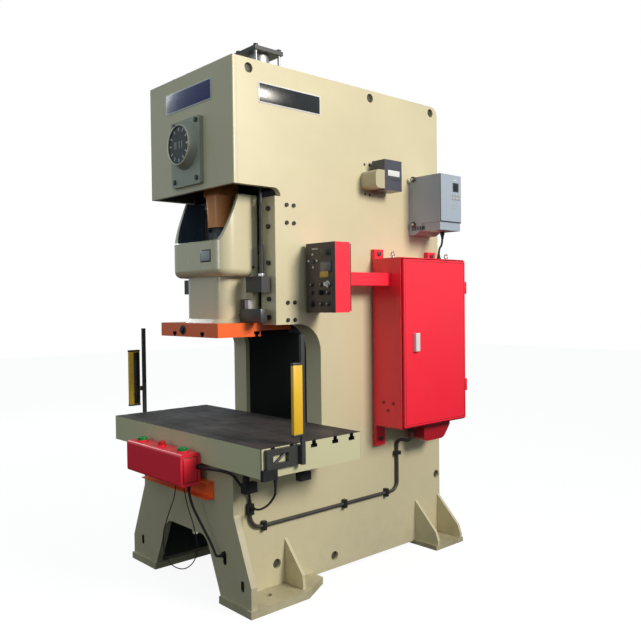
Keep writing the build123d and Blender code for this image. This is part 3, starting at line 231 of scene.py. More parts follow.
def cast_iron(name, colour):
    material, tree, shader = new_material(name)
    place = object_place(tree)
    sand = noise(tree, place, 260.0, 5.0, 0.6)
    blotch = noise(tree, place, 6.0, 5.0)
    shades = ramp(tree, blotch, ((0.3, shade(colour, 0.7)), (0.7, shade(colour, 1.15))))
    tree.links.new(shades, shader.inputs["Base Color"])
    shader.inputs["Metallic"].default_value = 0.8
    shader.inputs["Roughness"].default_value = 0.5
    bump(tree, shader, sand, 0.4, 0.0006)
    return material


cream_colour = (0.66, 0.585, 0.385)
red_colour = (0.98, 0.02, 0.048)
orange_colour = (1.0, 0.15, 0.022)
# The next colour is a painted shade for the inside of the frame, which lies in deep shade
inside_shade_colour = (0.06, 0.065, 0.06)
# The next colour is painted shade with a blue painted reflection, for the slide's pocket
pocket_shade_and_reflection_colour = (0.065, 0.095, 0.14)
panel_dark = (0.046, 0.028, 0.03)
on_casting = {"gloss": 0.2, "mottle": 0.03, "grime": 0.0, "coat": 0.9}
on_sheet = {"gloss": 0.32, "mottle": 0.02, "peel": 0.15, "grime": 0.0, "coat": 0.15}
on_plate = {"gloss": 0.28, "mottle": 0.06, "peel": 0.15, "grime": 0.0}

cream = enamel("cream enamel", cream_colour)
dial_cream = enamel("cream enamel on the dial", (0.36, 0.365, 0.29))
# Painted shade for the inside of the through holes
hole_shade_finish = enamel("painted hole shade", (0.07, 0.064, 0.05), gloss=0.55, grime=0.0)
dusty_colour = shade(cream_colour, 0.78)
floor_cream = enamel("cream enamel, dusty", dusty_colour, gloss=0.45, mottle=0.2, grime=0.5)
slide_cream_with_pocket_shade = enamel("cream enamel, painted pocket shade and reflection", cream_colour, **on_casting)
cast_cream = enamel("cream enamel on casting", cream_colour, **on_casting)
red = enamel("red enamel", red_colour, **on_sheet)
dark_red = enamel("red enamel, inside edge", (0.3, 0.012, 0.02), gloss=0.4, grime=0.0)
orange = enamel("orange enamel", orange_colour, **on_plate)
charcoal = enamel("charcoal enamel", (0.045, 0.044, 0.046), gloss=0.4, grime=0.0)
slate = enamel("slate blue enamel", (0.062, 0.06, 0.082), gloss=0.35, grime=0.0)
seamed_cream_with_inside_shade = enamel("cream enamel with a welded seam and painted shade inside", cream_colour)
# Painted shade for the inside of the frame
inside_painted_shade = enamel("painted shade inside the frame", inside_shade_colour, gloss=0.5, grime=0.0)
back_cream_with_inside_shade = enamel("cream enamel, painted shade inside", cream_colour)
orange_with_slot_shade = enamel("orange enamel, painted shade in the slots", orange_colour, **on_plate)
shell_red = enamel("red enamel, darker hood", red_colour, **on_sheet)
panel_red_with_side_shade = enamel("red enamel, dark face and painted shade on the inner side", red_colour, **on_sheet)
neutral_grey = enamel("neutral grey enamel", (0.37, 0.42, 0.50), gloss=0.38, grime=0.0)
dull_grey = enamel("light grey enamel", (0.42, 0.42, 0.42), gloss=0.4, grime=0.0)
face_brown = enamel("dark panel face", panel_dark, gloss=0.4, grime=0.0)
yellow = enamel("yellow enamel", (0.85, 0.50, 0.03), gloss=0.35, grime=0.0)
primer_colour = (1.0, 0.35, 0.085)
copper = enamel("red-brown primer", primer_colour, gloss=0.38, mottle=0.06, peel=0.3, grime=0.0)
blue = enamel("deep blue enamel", (0.03, 0.035, 0.16), gloss=0.25, grime=0.0)
white = enamel("white enamel", (0.72, 0.72, 0.72), gloss=0.3, mottle=0.03, grime=0.0)
black_gloss = enamel("black enamel", (0.012, 0.012, 0.013), gloss=0.22, grime=0.0)
steel = machined("ground steel", (0.6, 0.6, 0.6), 0.3)
dark_steel = machined("blackened steel", (0.12, 0.12, 0.125), 0.42)
plated = machined("plated steel", (0.7, 0.7, 0.71), 0.3, stain=0.1)
barrel_steel = machined("satin barrel steel", (0.55, 0.55, 0.56), 0.42, stain=0.15)
iron = cast_iron("grey iron", (0.16, 0.16, 0.17))
black_plastic = moulded("black plastic", (0.014, 0.014, 0.016), 0.45)
rubber = moulded("black rubber", (0.012, 0.012, 0.012), 0.6)
hose_grey = moulded("hose grey plastic", (0.055, 0.05, 0.046), 0.4)
grey_plastic = moulded("grey plastic", (0.2, 0.2, 0.21), 0.45)
green_plastic = moulded("green plastic", (0.01, 0.26, 0.05), 0.3)
red_plastic = moulded("red plastic", (0.55, 0.012, 0.012), 0.3)
yellow_plastic = moulded("yellow plastic", (0.62, 0.36, 0.06), 0.4)
ivory_plastic = moulded("ivory plastic", (0.6, 0.56, 0.44), 0.4)
screen = moulded("display glass", (0.17, 0.155, 0.16), 0.16, 60.0, 0.02)
dark_screen = moulded("dark display glass", (0.012, 0.016, 0.016), 0.1, 60.0, 0.02)


def table_finish():
    """Cream sides, tinted darker and greener as painted shade, and bare milled steel on top and in the
    slots.
    """
    skin = 0.0006  # how deep under a face the paint or the bare metal still counts as that face
    low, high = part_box("table")
    material, tree, shader = new_material("table, milled top and painted sides")
    place = object_place(tree)
    axes = place_axes(tree)
    on_top = arithmetic(tree, "GREATER_THAN", axes["Z"], high.z - skin)
    across = near(tree, axes["X"], 0.0, high.x - skin)
    along = near(tree, axes["Y"], (low.y + high.y) / 2, (high.y - low.y) / 2 - skin)
    raised = arithmetic(tree, "GREATER_THAN", axes["Z"], low.z + 0.002)
    bare = any_of(tree, on_top, all_of(tree, across, along, raised))
    stretch = tree.nodes.new("ShaderNodeMapping")
    stretch.inputs["Scale"].default_value = (1.0, 14.0, 1.0)
    tree.links.new(place, stretch.inputs["Vector"])
    lines = noise(tree, stretch.outputs["Vector"], 9.0, 6.0, 0.7)
    stains = noise(tree, place, 3.2, 7.0, 0.7)
    oily = (0.3, (0.045, 0.038, 0.037))
    dull = (0.58, (0.105, 0.09, 0.087))
    clean = (0.78, (0.19, 0.16, 0.145))
    metal = ramp(tree, stains, (oily, dull, clean))
    streaks = ramp(tree, lines, ((0.3, (0.6, 0.6, 0.6)), (0.7, (1.0, 1.0, 1.0))))
    metal = mix_colours(tree, 0.5, metal, streaks, "MULTIPLY")
    # The sides' cream is tinted darker and greener, a painted shade
    side_paint_with_shade_tint = (cream_colour[0] * 0.90, cream_colour[1] * 0.97, cream_colour[2] * 0.94)
    tree.links.new(mix_colours(tree, bare, side_paint_with_shade_tint, metal), shader.inputs["Base Color"])
    tree.links.new(arithmetic(tree, "MULTIPLY", bare, 0.35), shader.inputs["Metallic"])
    rough = value_range(tree, stains, 0.3, 0.7, 0.72, 0.56)
    tree.links.new(rough, shader.inputs["Roughness"])
    shader.inputs["Specular IOR Level"].default_value = 0.2
    bump(tree, shader, lines, 0.2, 0.0004)
    return material


def paint_slot_shade(material):
    """Paints shade on the walls of the slide plate's slots: two from front to back, and one across."""
    slot_x = 0.150
    cross_slot_y = throat_y - 0.361
    half_head = 0.0194
    half_neck = 0.0114
    low_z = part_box("slide_plate")[0].z
    tree = material.node_tree
    axes = place_axes(tree)
    from_centre = arithmetic(tree, "ABSOLUTE", axes["X"], 0.0)
    below_top = arithmetic(tree, "LESS_THAN", axes["Z"], low_z + 0.0304)
    above_neck = arithmetic(tree, "GREATER_THAN", axes["Z"], low_z + 0.0116)
    walls = []
    for value, middle in ((from_centre, slot_x), (axes["Y"], cross_slot_y)):
        walls.append(all_of(tree, near(tree, value, middle, half_head), above_neck, below_top))
        walls.append(all_of(tree, near(tree, value, middle, half_neck), below_top))
    # Painted shade in the slots
    paint_over(material, any_of(tree, *walls), (0.02, 0.018, 0.016))


def paint_leg_slot_shade(material):
    """Painted shade on the walls in the upright slots of the leg's front plate, behind its face."""
    # Middle, half width and half height of each slot
    slots = ((0.397, 0.262, 0.016, 0.039), (0.560, 0.150, 0.015, 0.030), (-0.519, 0.150, 0.015, 0.030))
    margin = 0.001
    face_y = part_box("leg_front_plate")[0].y
    tree = material.node_tree
    axes = place_axes(tree)
    openings = []
    for x, z, half_width, half_height in slots:
        beside = near(tree, axes["X"], x, half_width + margin)
        level = near(tree, axes["Z"], z, half_height + margin)
        openings.append(all_of(tree, beside, level))
    behind = arithmetic(tree, "GREATER_THAN", axes["Y"], face_y + 0.0008)
    mask = all_of(tree, any_of(tree, *openings), behind)
    paint_over(material, mask, (0.035, 0.035, 0.03))


def paint_pocket_shade(material):
    """Painted shade with a blue painted reflection on the inner walls of the slide's pocket, above its
    floor.
    """
    wall = 0.022
    corner = 0.078
    floor_height = 0.400
    low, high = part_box("slide_body")
    tree = material.node_tree
    axes = place_axes(tree)
    # Reach from the rectangle of the corner centres: inside the pocket it is under the corner's radius
    from_centre = arithmetic(tree, "ABSOLUTE", axes["X"], 0.0)
    beside = arithmetic(tree, "SUBTRACT", from_centre, high.x - wall - corner)
    beside = arithmetic(tree, "MAXIMUM", beside, 0.0)
    ahead = arithmetic(tree, "SUBTRACT", axes["Y"], low.y + wall + corner)
    ahead = arithmetic(tree, "MINIMUM", ahead, 0.0)
    beside_squared = arithmetic(tree, "POWER", beside, 2.0)
    ahead_squared = arithmetic(tree, "POWER", ahead, 2.0)
    reach = arithmetic(tree, "SQRT", arithmetic(tree, "ADD", beside_squared, ahead_squared), 0.0)
    inside = arithmetic(tree, "LESS_THAN", reach, corner + 0.0008)
    above = arithmetic(tree, "GREATER_THAN", axes["Z"], low.z + floor_height)
    paint_over(material, all_of(tree, inside, above), pocket_shade_and_reflection_colour)


# Second colours: the cam switch's cream base, the head's seam, the hood below the cabinet, the panel's
# face and back;
# and painted shade inside the frame, on the panel's inner side, on the walls of slots, and with a blue
# painted reflection in the pocket
seam_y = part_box("head_front_plate")[1].y
inside_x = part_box("crown_top_plate")[1].x + 0.0006
back_inner_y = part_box("back_plate")[0].y
panel_low, panel_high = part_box("panel_box")
mark_band(slate, "Y", throat_y + 0.3, throat_y + 0.4479, shade(cream_colour, 0.75))
mark_band(seamed_cream_with_inside_shade, "Y", seam_y - 0.001, seam_y + 0.0025, shade(cream_colour, 0.72))
# Painted shade on the inner faces of the side plates and on the back plate's inner face
mark_band(seamed_cream_with_inside_shade, "X", -inside_x, inside_x, inside_shade_colour)
mark_band(back_cream_with_inside_shade, "Y", back_inner_y - 0.001, back_inner_y + 0.0006, inside_shade_colour)
mark_band(shell_red, "Z", 0.0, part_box("cabinet_door")[0].z - 0.004, shade(red_colour, 0.45))
mark_band(panel_red_with_side_shade, "Y", throat_y - 0.2, throat_y - 0.1168, panel_dark)
mark_band(panel_red_with_side_shade, "Y", panel_high.y - 0.007, panel_high.y + 0.001, panel_dark)
# Painted shade on the panel's inner side, next to the frame
mark_band(panel_red_with_side_shade, "X", panel_low.x - 0.01, panel_low.x + 0.001, panel_dark)
# Painted shade on the slide plate's slot walls
paint_slot_shade(orange_with_slot_shade)
# The leg's front plate: cream darkened all over as a painted shade under the table, and painted shade on
# its slot walls
leg_cream_with_painted_shade = enamel("cream enamel, dark in the slots", shade(cream_colour, 0.82))
paint_leg_slot_shade(leg_cream_with_painted_shade)
# Painted shade and a blue painted reflection in the slide's pocket
paint_pocket_shade(slide_cream_with_pocket_shade)

finish_of = {
    "side_plate_left": seamed_cream_with_inside_shade,
    "side_plate_right": seamed_cream_with_inside_shade,
    "throat_flanges": cream,
    "head_front_plate": cream,
    "crown_top_plate": cream,
    # The inside plates are darkened all over, a painted shade
    "bearing_plates": inside_painted_shade,
    "gear_case_plates": inside_painted_shade,
    "gib_plates": cream,
    "gibs": iron,
    "gib_bolts": black_plastic,
    "leg_front_plate": leg_cream_with_painted_shade,
    "feet": floor_cream,
    "foot_gussets": cream,
    "bed_plate": cream,
    "back_plate": back_cream_with_inside_shade,
    "table": table_finish(),
    "motor": neutral_grey,
    "drive_belts": rubber,
    "balancer_barrels": barrel_steel,
    "balancer_caps": charcoal,
    "balancer_tie_rods": barrel_steel,
    "dial_housing": dial_cream,
    "cabinet_shell": shell_red,
    "cabinet_rails": red,
    "cabinet_gear": grey_plastic,
    "panel_box": panel_red_with_side_shade,
    "panel_arm": red,
    "inverter_box": neutral_grey,
    "cam_switch": slate,
    "curtain_brackets": charcoal,
    "light_curtains": yellow,
    "station_box": red,
    "station_bracket": orange,
    "conduit": hose_grey,
    "fittings": black_plastic,
    "control_cord": rubber,
    "table_cord": rubber,
    "curtain_cord": rubber,
    "inverter_cord": rubber,
    "thin_cord": black_plastic,
    "con_rod": copper,
    "slide_body": slide_cream_with_pocket_shade,
    "slide_plate": orange_with_slot_shade,
    "slide_lugs": charcoal,
    "ball_screw": dark_steel,
    "balancer_rods": dark_steel,
    "crankshaft": steel,
    "main_gear": iron,
    "angle_dial": black_gloss,
    "drive_shaft": steel,
    "flywheel": iron,
    "motor_pulley": iron,
    "cabinet_door": red,
    "door_handle": white,
    "start_button": black_plastic,
    "mode_selector": black_plastic,
    "key_switch": plated,
    "palm_button_left": green_plastic,
    "palm_button_right": green_plastic,
    "station_stop_button": red_plastic,
}
for node_name, material in finish_of.items():
    node = nodes[node_name]
    node.data.materials.clear()
    node.data.materials.append(material)


# Ways of making pieces


def deselect():
    if bpy.context.object and bpy.context.object.mode != "OBJECT":
        bpy.ops.object.mode_set(mode="OBJECT")
    bpy.ops.object.select_all(action="DESELECT")


def only(piece):
    deselect()
    piece.select_set(True)
    bpy.context.view_layer.objects.active = piece


def settle(piece, material, body="frame"):
    """Puts the place into the mesh, gives the finish, and lets the piece ride on its body."""
    only(piece)
    bpy.ops.object.transform_apply(location=True, rotation=True, scale=True)
    piece.data.materials.clear()
    piece.data.materials.append(material)
    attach(piece, body)
    return piece


def round_edges(piece, width, segments=2, angle=30.0):
    only(piece)
    bpy.ops.object.transform_apply(location=True, rotation=True, scale=True)
    bpy.ops.object.modifier_add(type="BEVEL")
    modifier = piece.modifiers[-1]
    modifier.width = width
    modifier.segments = segments
    modifier.limit_method = "ANGLE"
    modifier.angle_limit = radians(angle)
    bpy.ops.object.modifier_apply(modifier=modifier.name)
    bpy.ops.object.shade_smooth_by_angle(angle=radians(35))


def slab(name, low, high, material, body="frame", edge=0.002, segments=2):
    """A flat-sided piece between two corners, with rounded edges."""
    deselect()
    centre = [(a + b) / 2 for a, b in zip(low, high)]
    size = [abs(b - a) for a, b in zip(low, high)]
    bpy.ops.mesh.primitive_cube_add(size=1, location=centre)
    piece = bpy.context.object
    piece.name = name
    piece.scale = size
    round_edges(piece, min(edge, min(size) * 0.45), segments)
    return settle(piece, material, body)


def turned(name, start, end, radius, material, body="frame", edge=0.001, sides=40, end_radius=None):
    """A round piece from one point to another, with rounded rims; end_radius tapers it."""
    deselect()
    start = Vector(start)
    end = Vector(end)
    middle = (start + end) / 2
    turn = (end - start).to_track_quat("Z", "Y").to_euler()
    depth = (end - start).length
    if end_radius is None:
        bpy.ops.mesh.primitive_cylinder_add(
            vertices=sides, radius=radius, depth=depth, location=middle, rotation=turn
        )
    else:
        bpy.ops.mesh.primitive_cone_add(
            vertices=sides, radius1=radius, radius2=end_radius, depth=depth, location=middle, rotation=turn
        )
    piece = bpy.context.object
    piece.name = name
    if edge:
        round_edges(piece, edge)
    return settle(piece, material, body)


def ring(name, centre, axis, radius, thickness, material, body="frame"):
    deselect()
    turn = Vector(axis).to_track_quat("Z", "Y").to_euler()
    bpy.ops.mesh.primitive_torus_add(
        location=centre,
        rotation=turn,
        major_radius=radius,
        minor_radius=thickness,
        major_segments=48,
        minor_segments=12,
    )
    piece = bpy.context.object
    piece.name = name
    bpy.ops.object.shade_smooth()
    return settle(piece, material, body)


def joined(name, pieces, body="frame"):
    """Joins pieces of one body into one object; each keeps its own finish."""
    deselect()
    for piece in pieces:
        piece.select_set(True)
    bpy.context.view_layer.objects.active = pieces[0]
    bpy.ops.object.join()
    piece = bpy.context.object
    piece.name = name
    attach(piece, body)
    return piece


def moved(piece, name, offset, body="frame"):
    """A copy of a piece with a mesh of its own, shifted by an offset."""
    only(piece)
    bpy.ops.object.duplicate(linked=False)
    twin = bpy.context.object
    twin.name = name
    bpy.ops.transform.translate(value=offset)
    bpy.ops.object.transform_apply(location=True, rotation=True, scale=True)
    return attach(twin, body)


def swung(piece, name, axis, centre, angle, body="frame"):
    """A copy of a piece with a mesh of its own, turned about a centre."""
    only(piece)
    bpy.ops.object.duplicate(linked=False)
    twin = bpy.context.object
    twin.name = name
    bpy.ops.transform.rotate(
        value=radians(angle), orient_axis=axis, orient_type="GLOBAL", center_override=centre
    )
    bpy.ops.object.transform_apply(location=True, rotation=True, scale=True)
    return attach(twin, body)


def along_x(name, x0, x1, y, z, radius, material, body="frame", **more):
    """A round piece from x0 to x1."""
    return turned(name, (x0, y, z), (x1, y, z), radius, material, body, **more)


def along_y(name, x, y0, y1, z, radius, material, body="frame", **more):
    """A round piece from y0 to y1."""
    return turned(name, (x, y0, z), (x, y1, z), radius, material, body, **more)


def along_z(name, x, y, z0, z1, radius, material, body="frame", **more):
    """A round piece from z0 to z1."""
    return turned(name, (x, y, z0), (x, y, z1), radius, material, body, **more)


def framed_plate(name, low, high, field, border, body="frame"):
    """A thin plate with a border; the field inside it stands slightly proud, on the outer face."""
    rim = 0.007
    proud = 0.0008
    step = 0.0005
    along = min(range(3), key=lambda i: abs(high[i] - low[i]))
    plate = slab(name + "_border", low, high, border, body, edge=0.0008)
    inner_low = list(low)
    inner_high = list(high)
    for i in range(3):
        if i != along:
            inner_low[i] += rim
            inner_high[i] -= rim
    if abs(high[along]) > abs(low[along]):
        inner_low[along] += step
        inner_high[along] += proud
    else:
        inner_low[along] -= proud
        inner_high[along] -= step
    face = slab(name + "_field", inner_low, inner_high, field, body, edge=0.0004)
    return joined(name, [plate, face], body)


# Camera, light and floor


def place_camera():
    stand = (3.6707, -3.1559, 1.6531)
    yaw = radians(47.888)
    pitch = radians(-1.3848)
    roll = radians(-0.6679)
    forward = Vector((-sin(yaw) * cos(pitch), cos(yaw) * cos(pitch), sin(pitch)))
    right = Vector((cos(yaw), sin(yaw), 0.0))
    up = right.cross(forward)
    rolled_right = right * cos(roll) + up * sin(roll)
    rolled_up = up * cos(roll) - right * sin(roll)
    turn = Matrix((rolled_right, rolled_up, -forward)).transposed()
    data = bpy.data.cameras.new("camera")
    data.sensor_width = 36.0
    data.lens = 40.644
    data.clip_end = 60.0
    camera = bpy.data.objects.new("camera", data)
    bpy.context.scene.collection.objects.link(camera)
    camera.matrix_world = Matrix.Translation(stand) @ turn.to_4x4()
    bpy.context.scene.camera = camera


def lamp(name, place, target, power, colour, size):
    """A square lamp that faces its target; the power is in watts."""
    data = bpy.data.lights.new(name, "AREA")
    data.energy = power
    data.color = colour
    data.size = size
    thing = bpy.data.objects.new(name, data)
    bpy.context.scene.collection.objects.link(thing)
    thing.location = place
    thing.rotation_euler = (Vector(target) - Vector(place)).to_track_quat("-Z", "Y").to_euler()
    return thing


def set_world():
    world = bpy.data.worlds.new("studio")
    bpy.context.scene.world = world
    world.use_nodes = True
    tree = world.node_tree
    ambient = tree.nodes["Background"]
    ambient.inputs["Color"].default_value = (0.80, 0.95, 1.0, 1.0)
    ambient.inputs["Strength"].default_value = 0.47
    backdrop = tree.nodes.new("ShaderNodeBackground")
    backdrop.inputs["Color"].default_value = (1.0, 1.0, 1.0, 1.0)
    backdrop.inputs["Strength"].default_value = 1.0
    light_path = tree.nodes.new("ShaderNodeLightPath")
    mixer = tree.nodes.new("ShaderNodeMixShader")
    tree.links.new(light_path.outputs["Is Camera Ray"], mixer.inputs["Fac"])
    tree.links.new(ambient.outputs["Background"], mixer.inputs[1])
    tree.links.new(backdrop.outputs["Background"], mixer.inputs[2])
    tree.links.new(mixer.outputs["Shader"], tree.nodes["World Output"].inputs["Surface"])


def lay_floor():
    """A pale floor: nearly white to the camera, and dark to the light that it throws back."""
    deselect()
    bpy.ops.mesh.primitive_plane_add(size=40, location=(0, 0, -0.0005))
    floor = bpy.context.object
    floor.name = "floor"
    material, tree, shader = new_material("pale floor")
    shader.inputs["Roughness"].default_value = 0.9
    shader.inputs["Specular IOR Level"].default_value = 0.1
    glow = tree.nodes.new("ShaderNodeEmission")
    glow.inputs["Color"].default_value = (1.0, 1.0, 1.0, 1.0)
    glow.inputs["Strength"].default_value = 1.05
    light_path = tree.nodes.new("ShaderNodeLightPath")
    seen = arithmetic(tree, "MULTIPLY", light_path.outputs["Is Camera Ray"], 0.88)
    thrown_back = (0.05, 0.052, 0.05)
    albedo = mix_colours(tree, light_path.outputs["Is Camera Ray"], thrown_back, (0.9, 0.9, 0.9))
    tree.links.new(albedo, shader.inputs["Base Color"])
    mixer = tree.nodes.new("ShaderNodeMixShader")
    tree.links.new(seen, mixer.inputs["Fac"])
    tree.links.new(shader.outputs["BSDF"], mixer.inputs[1])
    tree.links.new(glow.outputs["Emission"], mixer.inputs[2])
    tree.links.new(mixer.outputs["Shader"], tree.nodes["Material Output"].inputs["Surface"])
    floor.data.materials.append(material)


bpy.context.scene.view_settings.view_transform = "Standard"
place_camera()
set_world()
warm_white = (1.0, 0.95, 0.87)
cool_white = (0.92, 0.97, 1.0)
soft_white = (0.95, 0.98, 1.0)
key_lamp = lamp("window_light", (6.2, 1.0, 4.3), (0.45, -1.7, 2.2), 192.0, warm_white, 1.9)
key_lamp.data.spread = radians(120)
lamp("front_window", (1.4, -8.0, 2.6), (0, 0, 1.7), 26.0, cool_white, 1.1)
lamp("left_window", (-6.8, -0.4, 4.2), (-0.4, 0.4, 1.4), 90.0, soft_white, 3.0)
lay_floor()


# Cords


def cord_piece(
    name, points, diameter, length, material
):
    """A round cord along one smooth spline through its route."""
    curve = bpy.data.curves.new(name, "CURVE")
    curve.dimensions = "3D"
    curve.bevel_depth = diameter / 2
    curve.bevel_resolution = 4
    curve.use_fill_caps = True
    spline = curve.splines.new("NURBS")
    spline.points.add(len(points) - 1)
    for point, place in zip(spline.points, points):
        point.co = (*place, 1.0)
    spline.order_u = 3
    spline.use_endpoint_u = True
    spline.resolution_u = 12
    piece = bpy.data.objects.new(name, curve)
    bpy.context.scene.collection.objects.link(piece)
    curve.materials.append(material)
    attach(piece, "frame")
    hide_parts(name)
    return piece


station_back_y = throat_y - 0.718
leg_front_y = throat_y - 0.668
tee_y = throat_y - 0.540
cord_routes = {
    "control_cord": (
        0.014,
        rubber,
        (
            (0.185, station_back_y - 0.040, 0.632),
            (0.185, station_back_y - 0.040, 0.560),
            (0.262, leg_front_y - 0.052, 0.415),
            (0.325, leg_front_y - 0.032, 0.320),
            (0.375, leg_front_y - 0.045, 0.283),
            (0.396, leg_front_y - 0.045, 0.281),
            (0.396, leg_front_y - 0.010, 0.281),
        ),
    ),
    "table_cord": (
        0.014,
        rubber,
        (
            (0.260, station_back_y - 0.016, 0.752),
            (0.330, station_back_y - 0.016, 0.752),
            (0.430, station_back_y + 0.021, 0.750),
            (0.535, station_back_y + 0.021, 0.748),
            (0.506, tee_y - 0.080, 0.655),
            (0.461, tee_y, 0.610),
            (0.461, tee_y, 0.548),
        ),
    ),
    "curtain_cord": (
        0.012,
        rubber,
        (
            (0.804, throat_y - 0.630, 0.746),
            (0.804, throat_y - 0.630, 0.700),
            (0.790, throat_y - 0.625, 0.670),
            (0.700, throat_y - 0.595, 0.600),
            (0.570, tee_y - 0.010, 0.540),
            (0.520, tee_y, 0.528),
            (0.491, tee_y, 0.528),
        ),
    ),
    "inverter_cord": (
        0.014,
        rubber,
        (
            (0.604, throat_y + 0.985, 2.097),
            (0.604, throat_y + 0.985, 2.030),
            (0.596, throat_y + 0.955, 2.005),
            (0.596, throat_y + 0.955, 1.943),
        ),
    ),
    "thin_cord": (
        0.006,
        black_plastic,
        (
            (0.110, station_back_y - 0.030, 0.650),
            (0.125, station_back_y - 0.027, 0.540),
            (0.200, station_back_y - 0.007, 0.380),
            (0.215, station_back_y - 0.005, 0.230),
            (0.060, station_back_y - 0.002, 0.110),
            (-0.130, station_back_y - 0.002, 0.110),
            (-0.190, station_back_y - 0.005, 0.240),
            (-0.090, station_back_y - 0.012, 0.420),
            (0.030, station_back_y - 0.030, 0.560),
            (0.030, station_back_y - 0.030, 0.650),
        ),
    ),
}


def route_length(points):
    """Length of the smooth line that the route's points control."""
    curve = bpy.data.curves.new("measure", "CURVE")
    curve.dimensions = "3D"
    spline = curve.splines.new("NURBS")
    spline.points.add(len(points) - 1)
    for point, place in zip(spline.points, points):
        point.co = (*place, 1.0)
    spline.order_u = 3
    spline.use_endpoint_u = True
    length = spline.calc_length(resolution=32)
    bpy.data.curves.remove(curve)
    return length


boot_length = 0.026
for cord_name, (diameter, material, points) in cord_routes.items():
    cord_piece(cord_name, points, diameter, round(route_length(points), 3), material)
    # Tapering boots where the cord leaves its glands
    for end_name, gland, after in (("start", points[0], points[1]), ("end", points[-1], points[-2])):
        gland = Vector(gland)
        reach = min(boot_length, (Vector(after) - gland).length * 0.7)
        tip = gland + (Vector(after) - gland).normalized() * reach
        turned(
            f"{cord_name}_boot_{end_name}",
            gland,
            tip,
            diameter * 0.85,
            rubber,
            edge=0.0008,
            sides=32,
            end_radius=diameter * 0.56,
        )


# Plates on the head

head_low, head_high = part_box("head_front_plate")
front_y = head_low.y
side_x = head_high.x
plate_depth = 0.003
head_plate_low = (-0.245, front_y - plate_depth, 2.800)
head_plate_high = (0.245, front_y, 2.920)
framed_plate("head_plate", head_plate_low, head_plate_high, blue, white)
side_plate_low = (side_x, throat_y - 0.433, 2.770)
side_plate_high = (side_x + plate_depth, throat_y + 0.030, 2.885)
framed_plate("side_name_plate", side_plate_low, side_plate_high, black_gloss, white)

# Dark discs recessed in the round holes of the side plates, a painted shade in the holes; each
# place is a distance behind the throat's back wall and a height
disc_back = -0.498
disc_z = 2.947
disc_depth = 0.020  # from the side plate's face to the disc's middle
disc_half = 0.004
right_holes = ((0.460, 2.951), (1.058, 2.955), (-0.344, 0.162), (0.108, 0.098), (1.093, 0.437))
left_holes = ((disc_back, disc_z), (0.460, 2.951), (1.058, 2.955))
shade_disc = along_x(
    "hole_shade_disc_1",
    side_x - disc_depth - disc_half,
    side_x - disc_depth + disc_half,
    throat_y + disc_back,
    disc_z,
    0.0278,
    hole_shade_finish,
)
for number, (back, z) in enumerate(right_holes, 2):
    moved(shade_disc, f"hole_shade_disc_{number}", (0, back - disc_back, z - disc_z))
to_left = -2 * (side_x - disc_depth)
for number, (back, z) in enumerate(left_holes, 2 + len(right_holes)):
    moved(shade_disc, f"hole_shade_disc_{number}", (to_left, back - disc_back, z - disc_z))


# Balance cylinders: nuts on the tie rods and a lifting eye on the near corner

cap_top_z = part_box("balancer_caps")[1].z
balancer_x = 0.346
balancer_y = throat_y - 0.350
tie_offset = 0.082
nut = along_z(
    "tie_nut_1",
    balancer_x + tie_offset,
    balancer_y + tie_offset,
    cap_top_z,
    cap_top_z + 0.012,
    0.0155,
    dark_steel,
    sides=6,
)
number = 2
for to_cylinder in (0, -2 * balancer_x):
    for dx, dy in ((0, 0), (-2 * tie_offset, 0), (0, -2 * tie_offset), (-2 * tie_offset, -2 * tie_offset)):
        if (to_cylinder, dx, dy) == (0, 0, 0):
            continue
        moved(nut, f"tie_nut_{number}", (to_cylinder + dx, dy, 0))
        number += 1
eye_centre = (balancer_x + 0.045, balancer_y - tie_offset, cap_top_z + 0.002)
ring("lifting_eye", eye_centre, (0, 1, 0), 0.008, 0.0022, dark_steel)


# Dial: rim, ticks and bars on its face, and screws in its plate

dial_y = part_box("angle_dial")[0].y
dial_z = 2.575
dial_centre = (0, dial_y, dial_z)
mark_front_y = dial_y - 0.0009
mark_back_y = dial_y + 0.0003
ring("dial_rim", (0, dial_y - 0.004, dial_z), (0, 1, 0), 0.113, 0.004, cast_cream)
tick_low = (-0.0035, mark_front_y, dial_z + 0.078)
tick_high = (0.0035, mark_back_y, dial_z + 0.100)
tick = slab("dial_tick_1", tick_low, tick_high, white, "crank", edge=0.0003)
for number, angle in enumerate((30, 62, 90, 121, 150, 180, 212, 240, 270, 300, 331), 2):
    swung(tick, f"dial_tick_{number}", "Y", dial_centre, angle, "crank")
bar_low = (-0.046, mark_front_y, dial_z - 0.022)
bar_high = (-0.040, mark_back_y, dial_z + 0.022)
bar = slab("dial_bar_1", bar_low, bar_high, ivory_plastic, "crank", edge=0.0003)
for number, shift in enumerate((0.014, 0.050, 0.078), 2):
    moved(bar, f"dial_bar_{number}", (shift, 0, 0), "crank")
housing_low, housing_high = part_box("dial_housing")
screw_x = -0.118
screw_low_z = housing_low.z + 0.034
screw_rise = housing_high.z - 0.022 - screw_low_z
plate_y = front_y - 0.025
screw = along_y(
    "dial_screw_1", screw_x, plate_y - 0.0095, plate_y - 0.0005, screw_low_z, 0.0145, charcoal
)
screw_shifts = ((-2 * screw_x, 0), (0, screw_rise), (-2 * screw_x, screw_rise))
for number, (dx, dz) in enumerate(screw_shifts, 2):
    moved(screw, f"dial_screw_{number}", (dx, 0, dz))


# Slide: blank rating plate, height scale, nuts on the balance rods, and the block on the plate

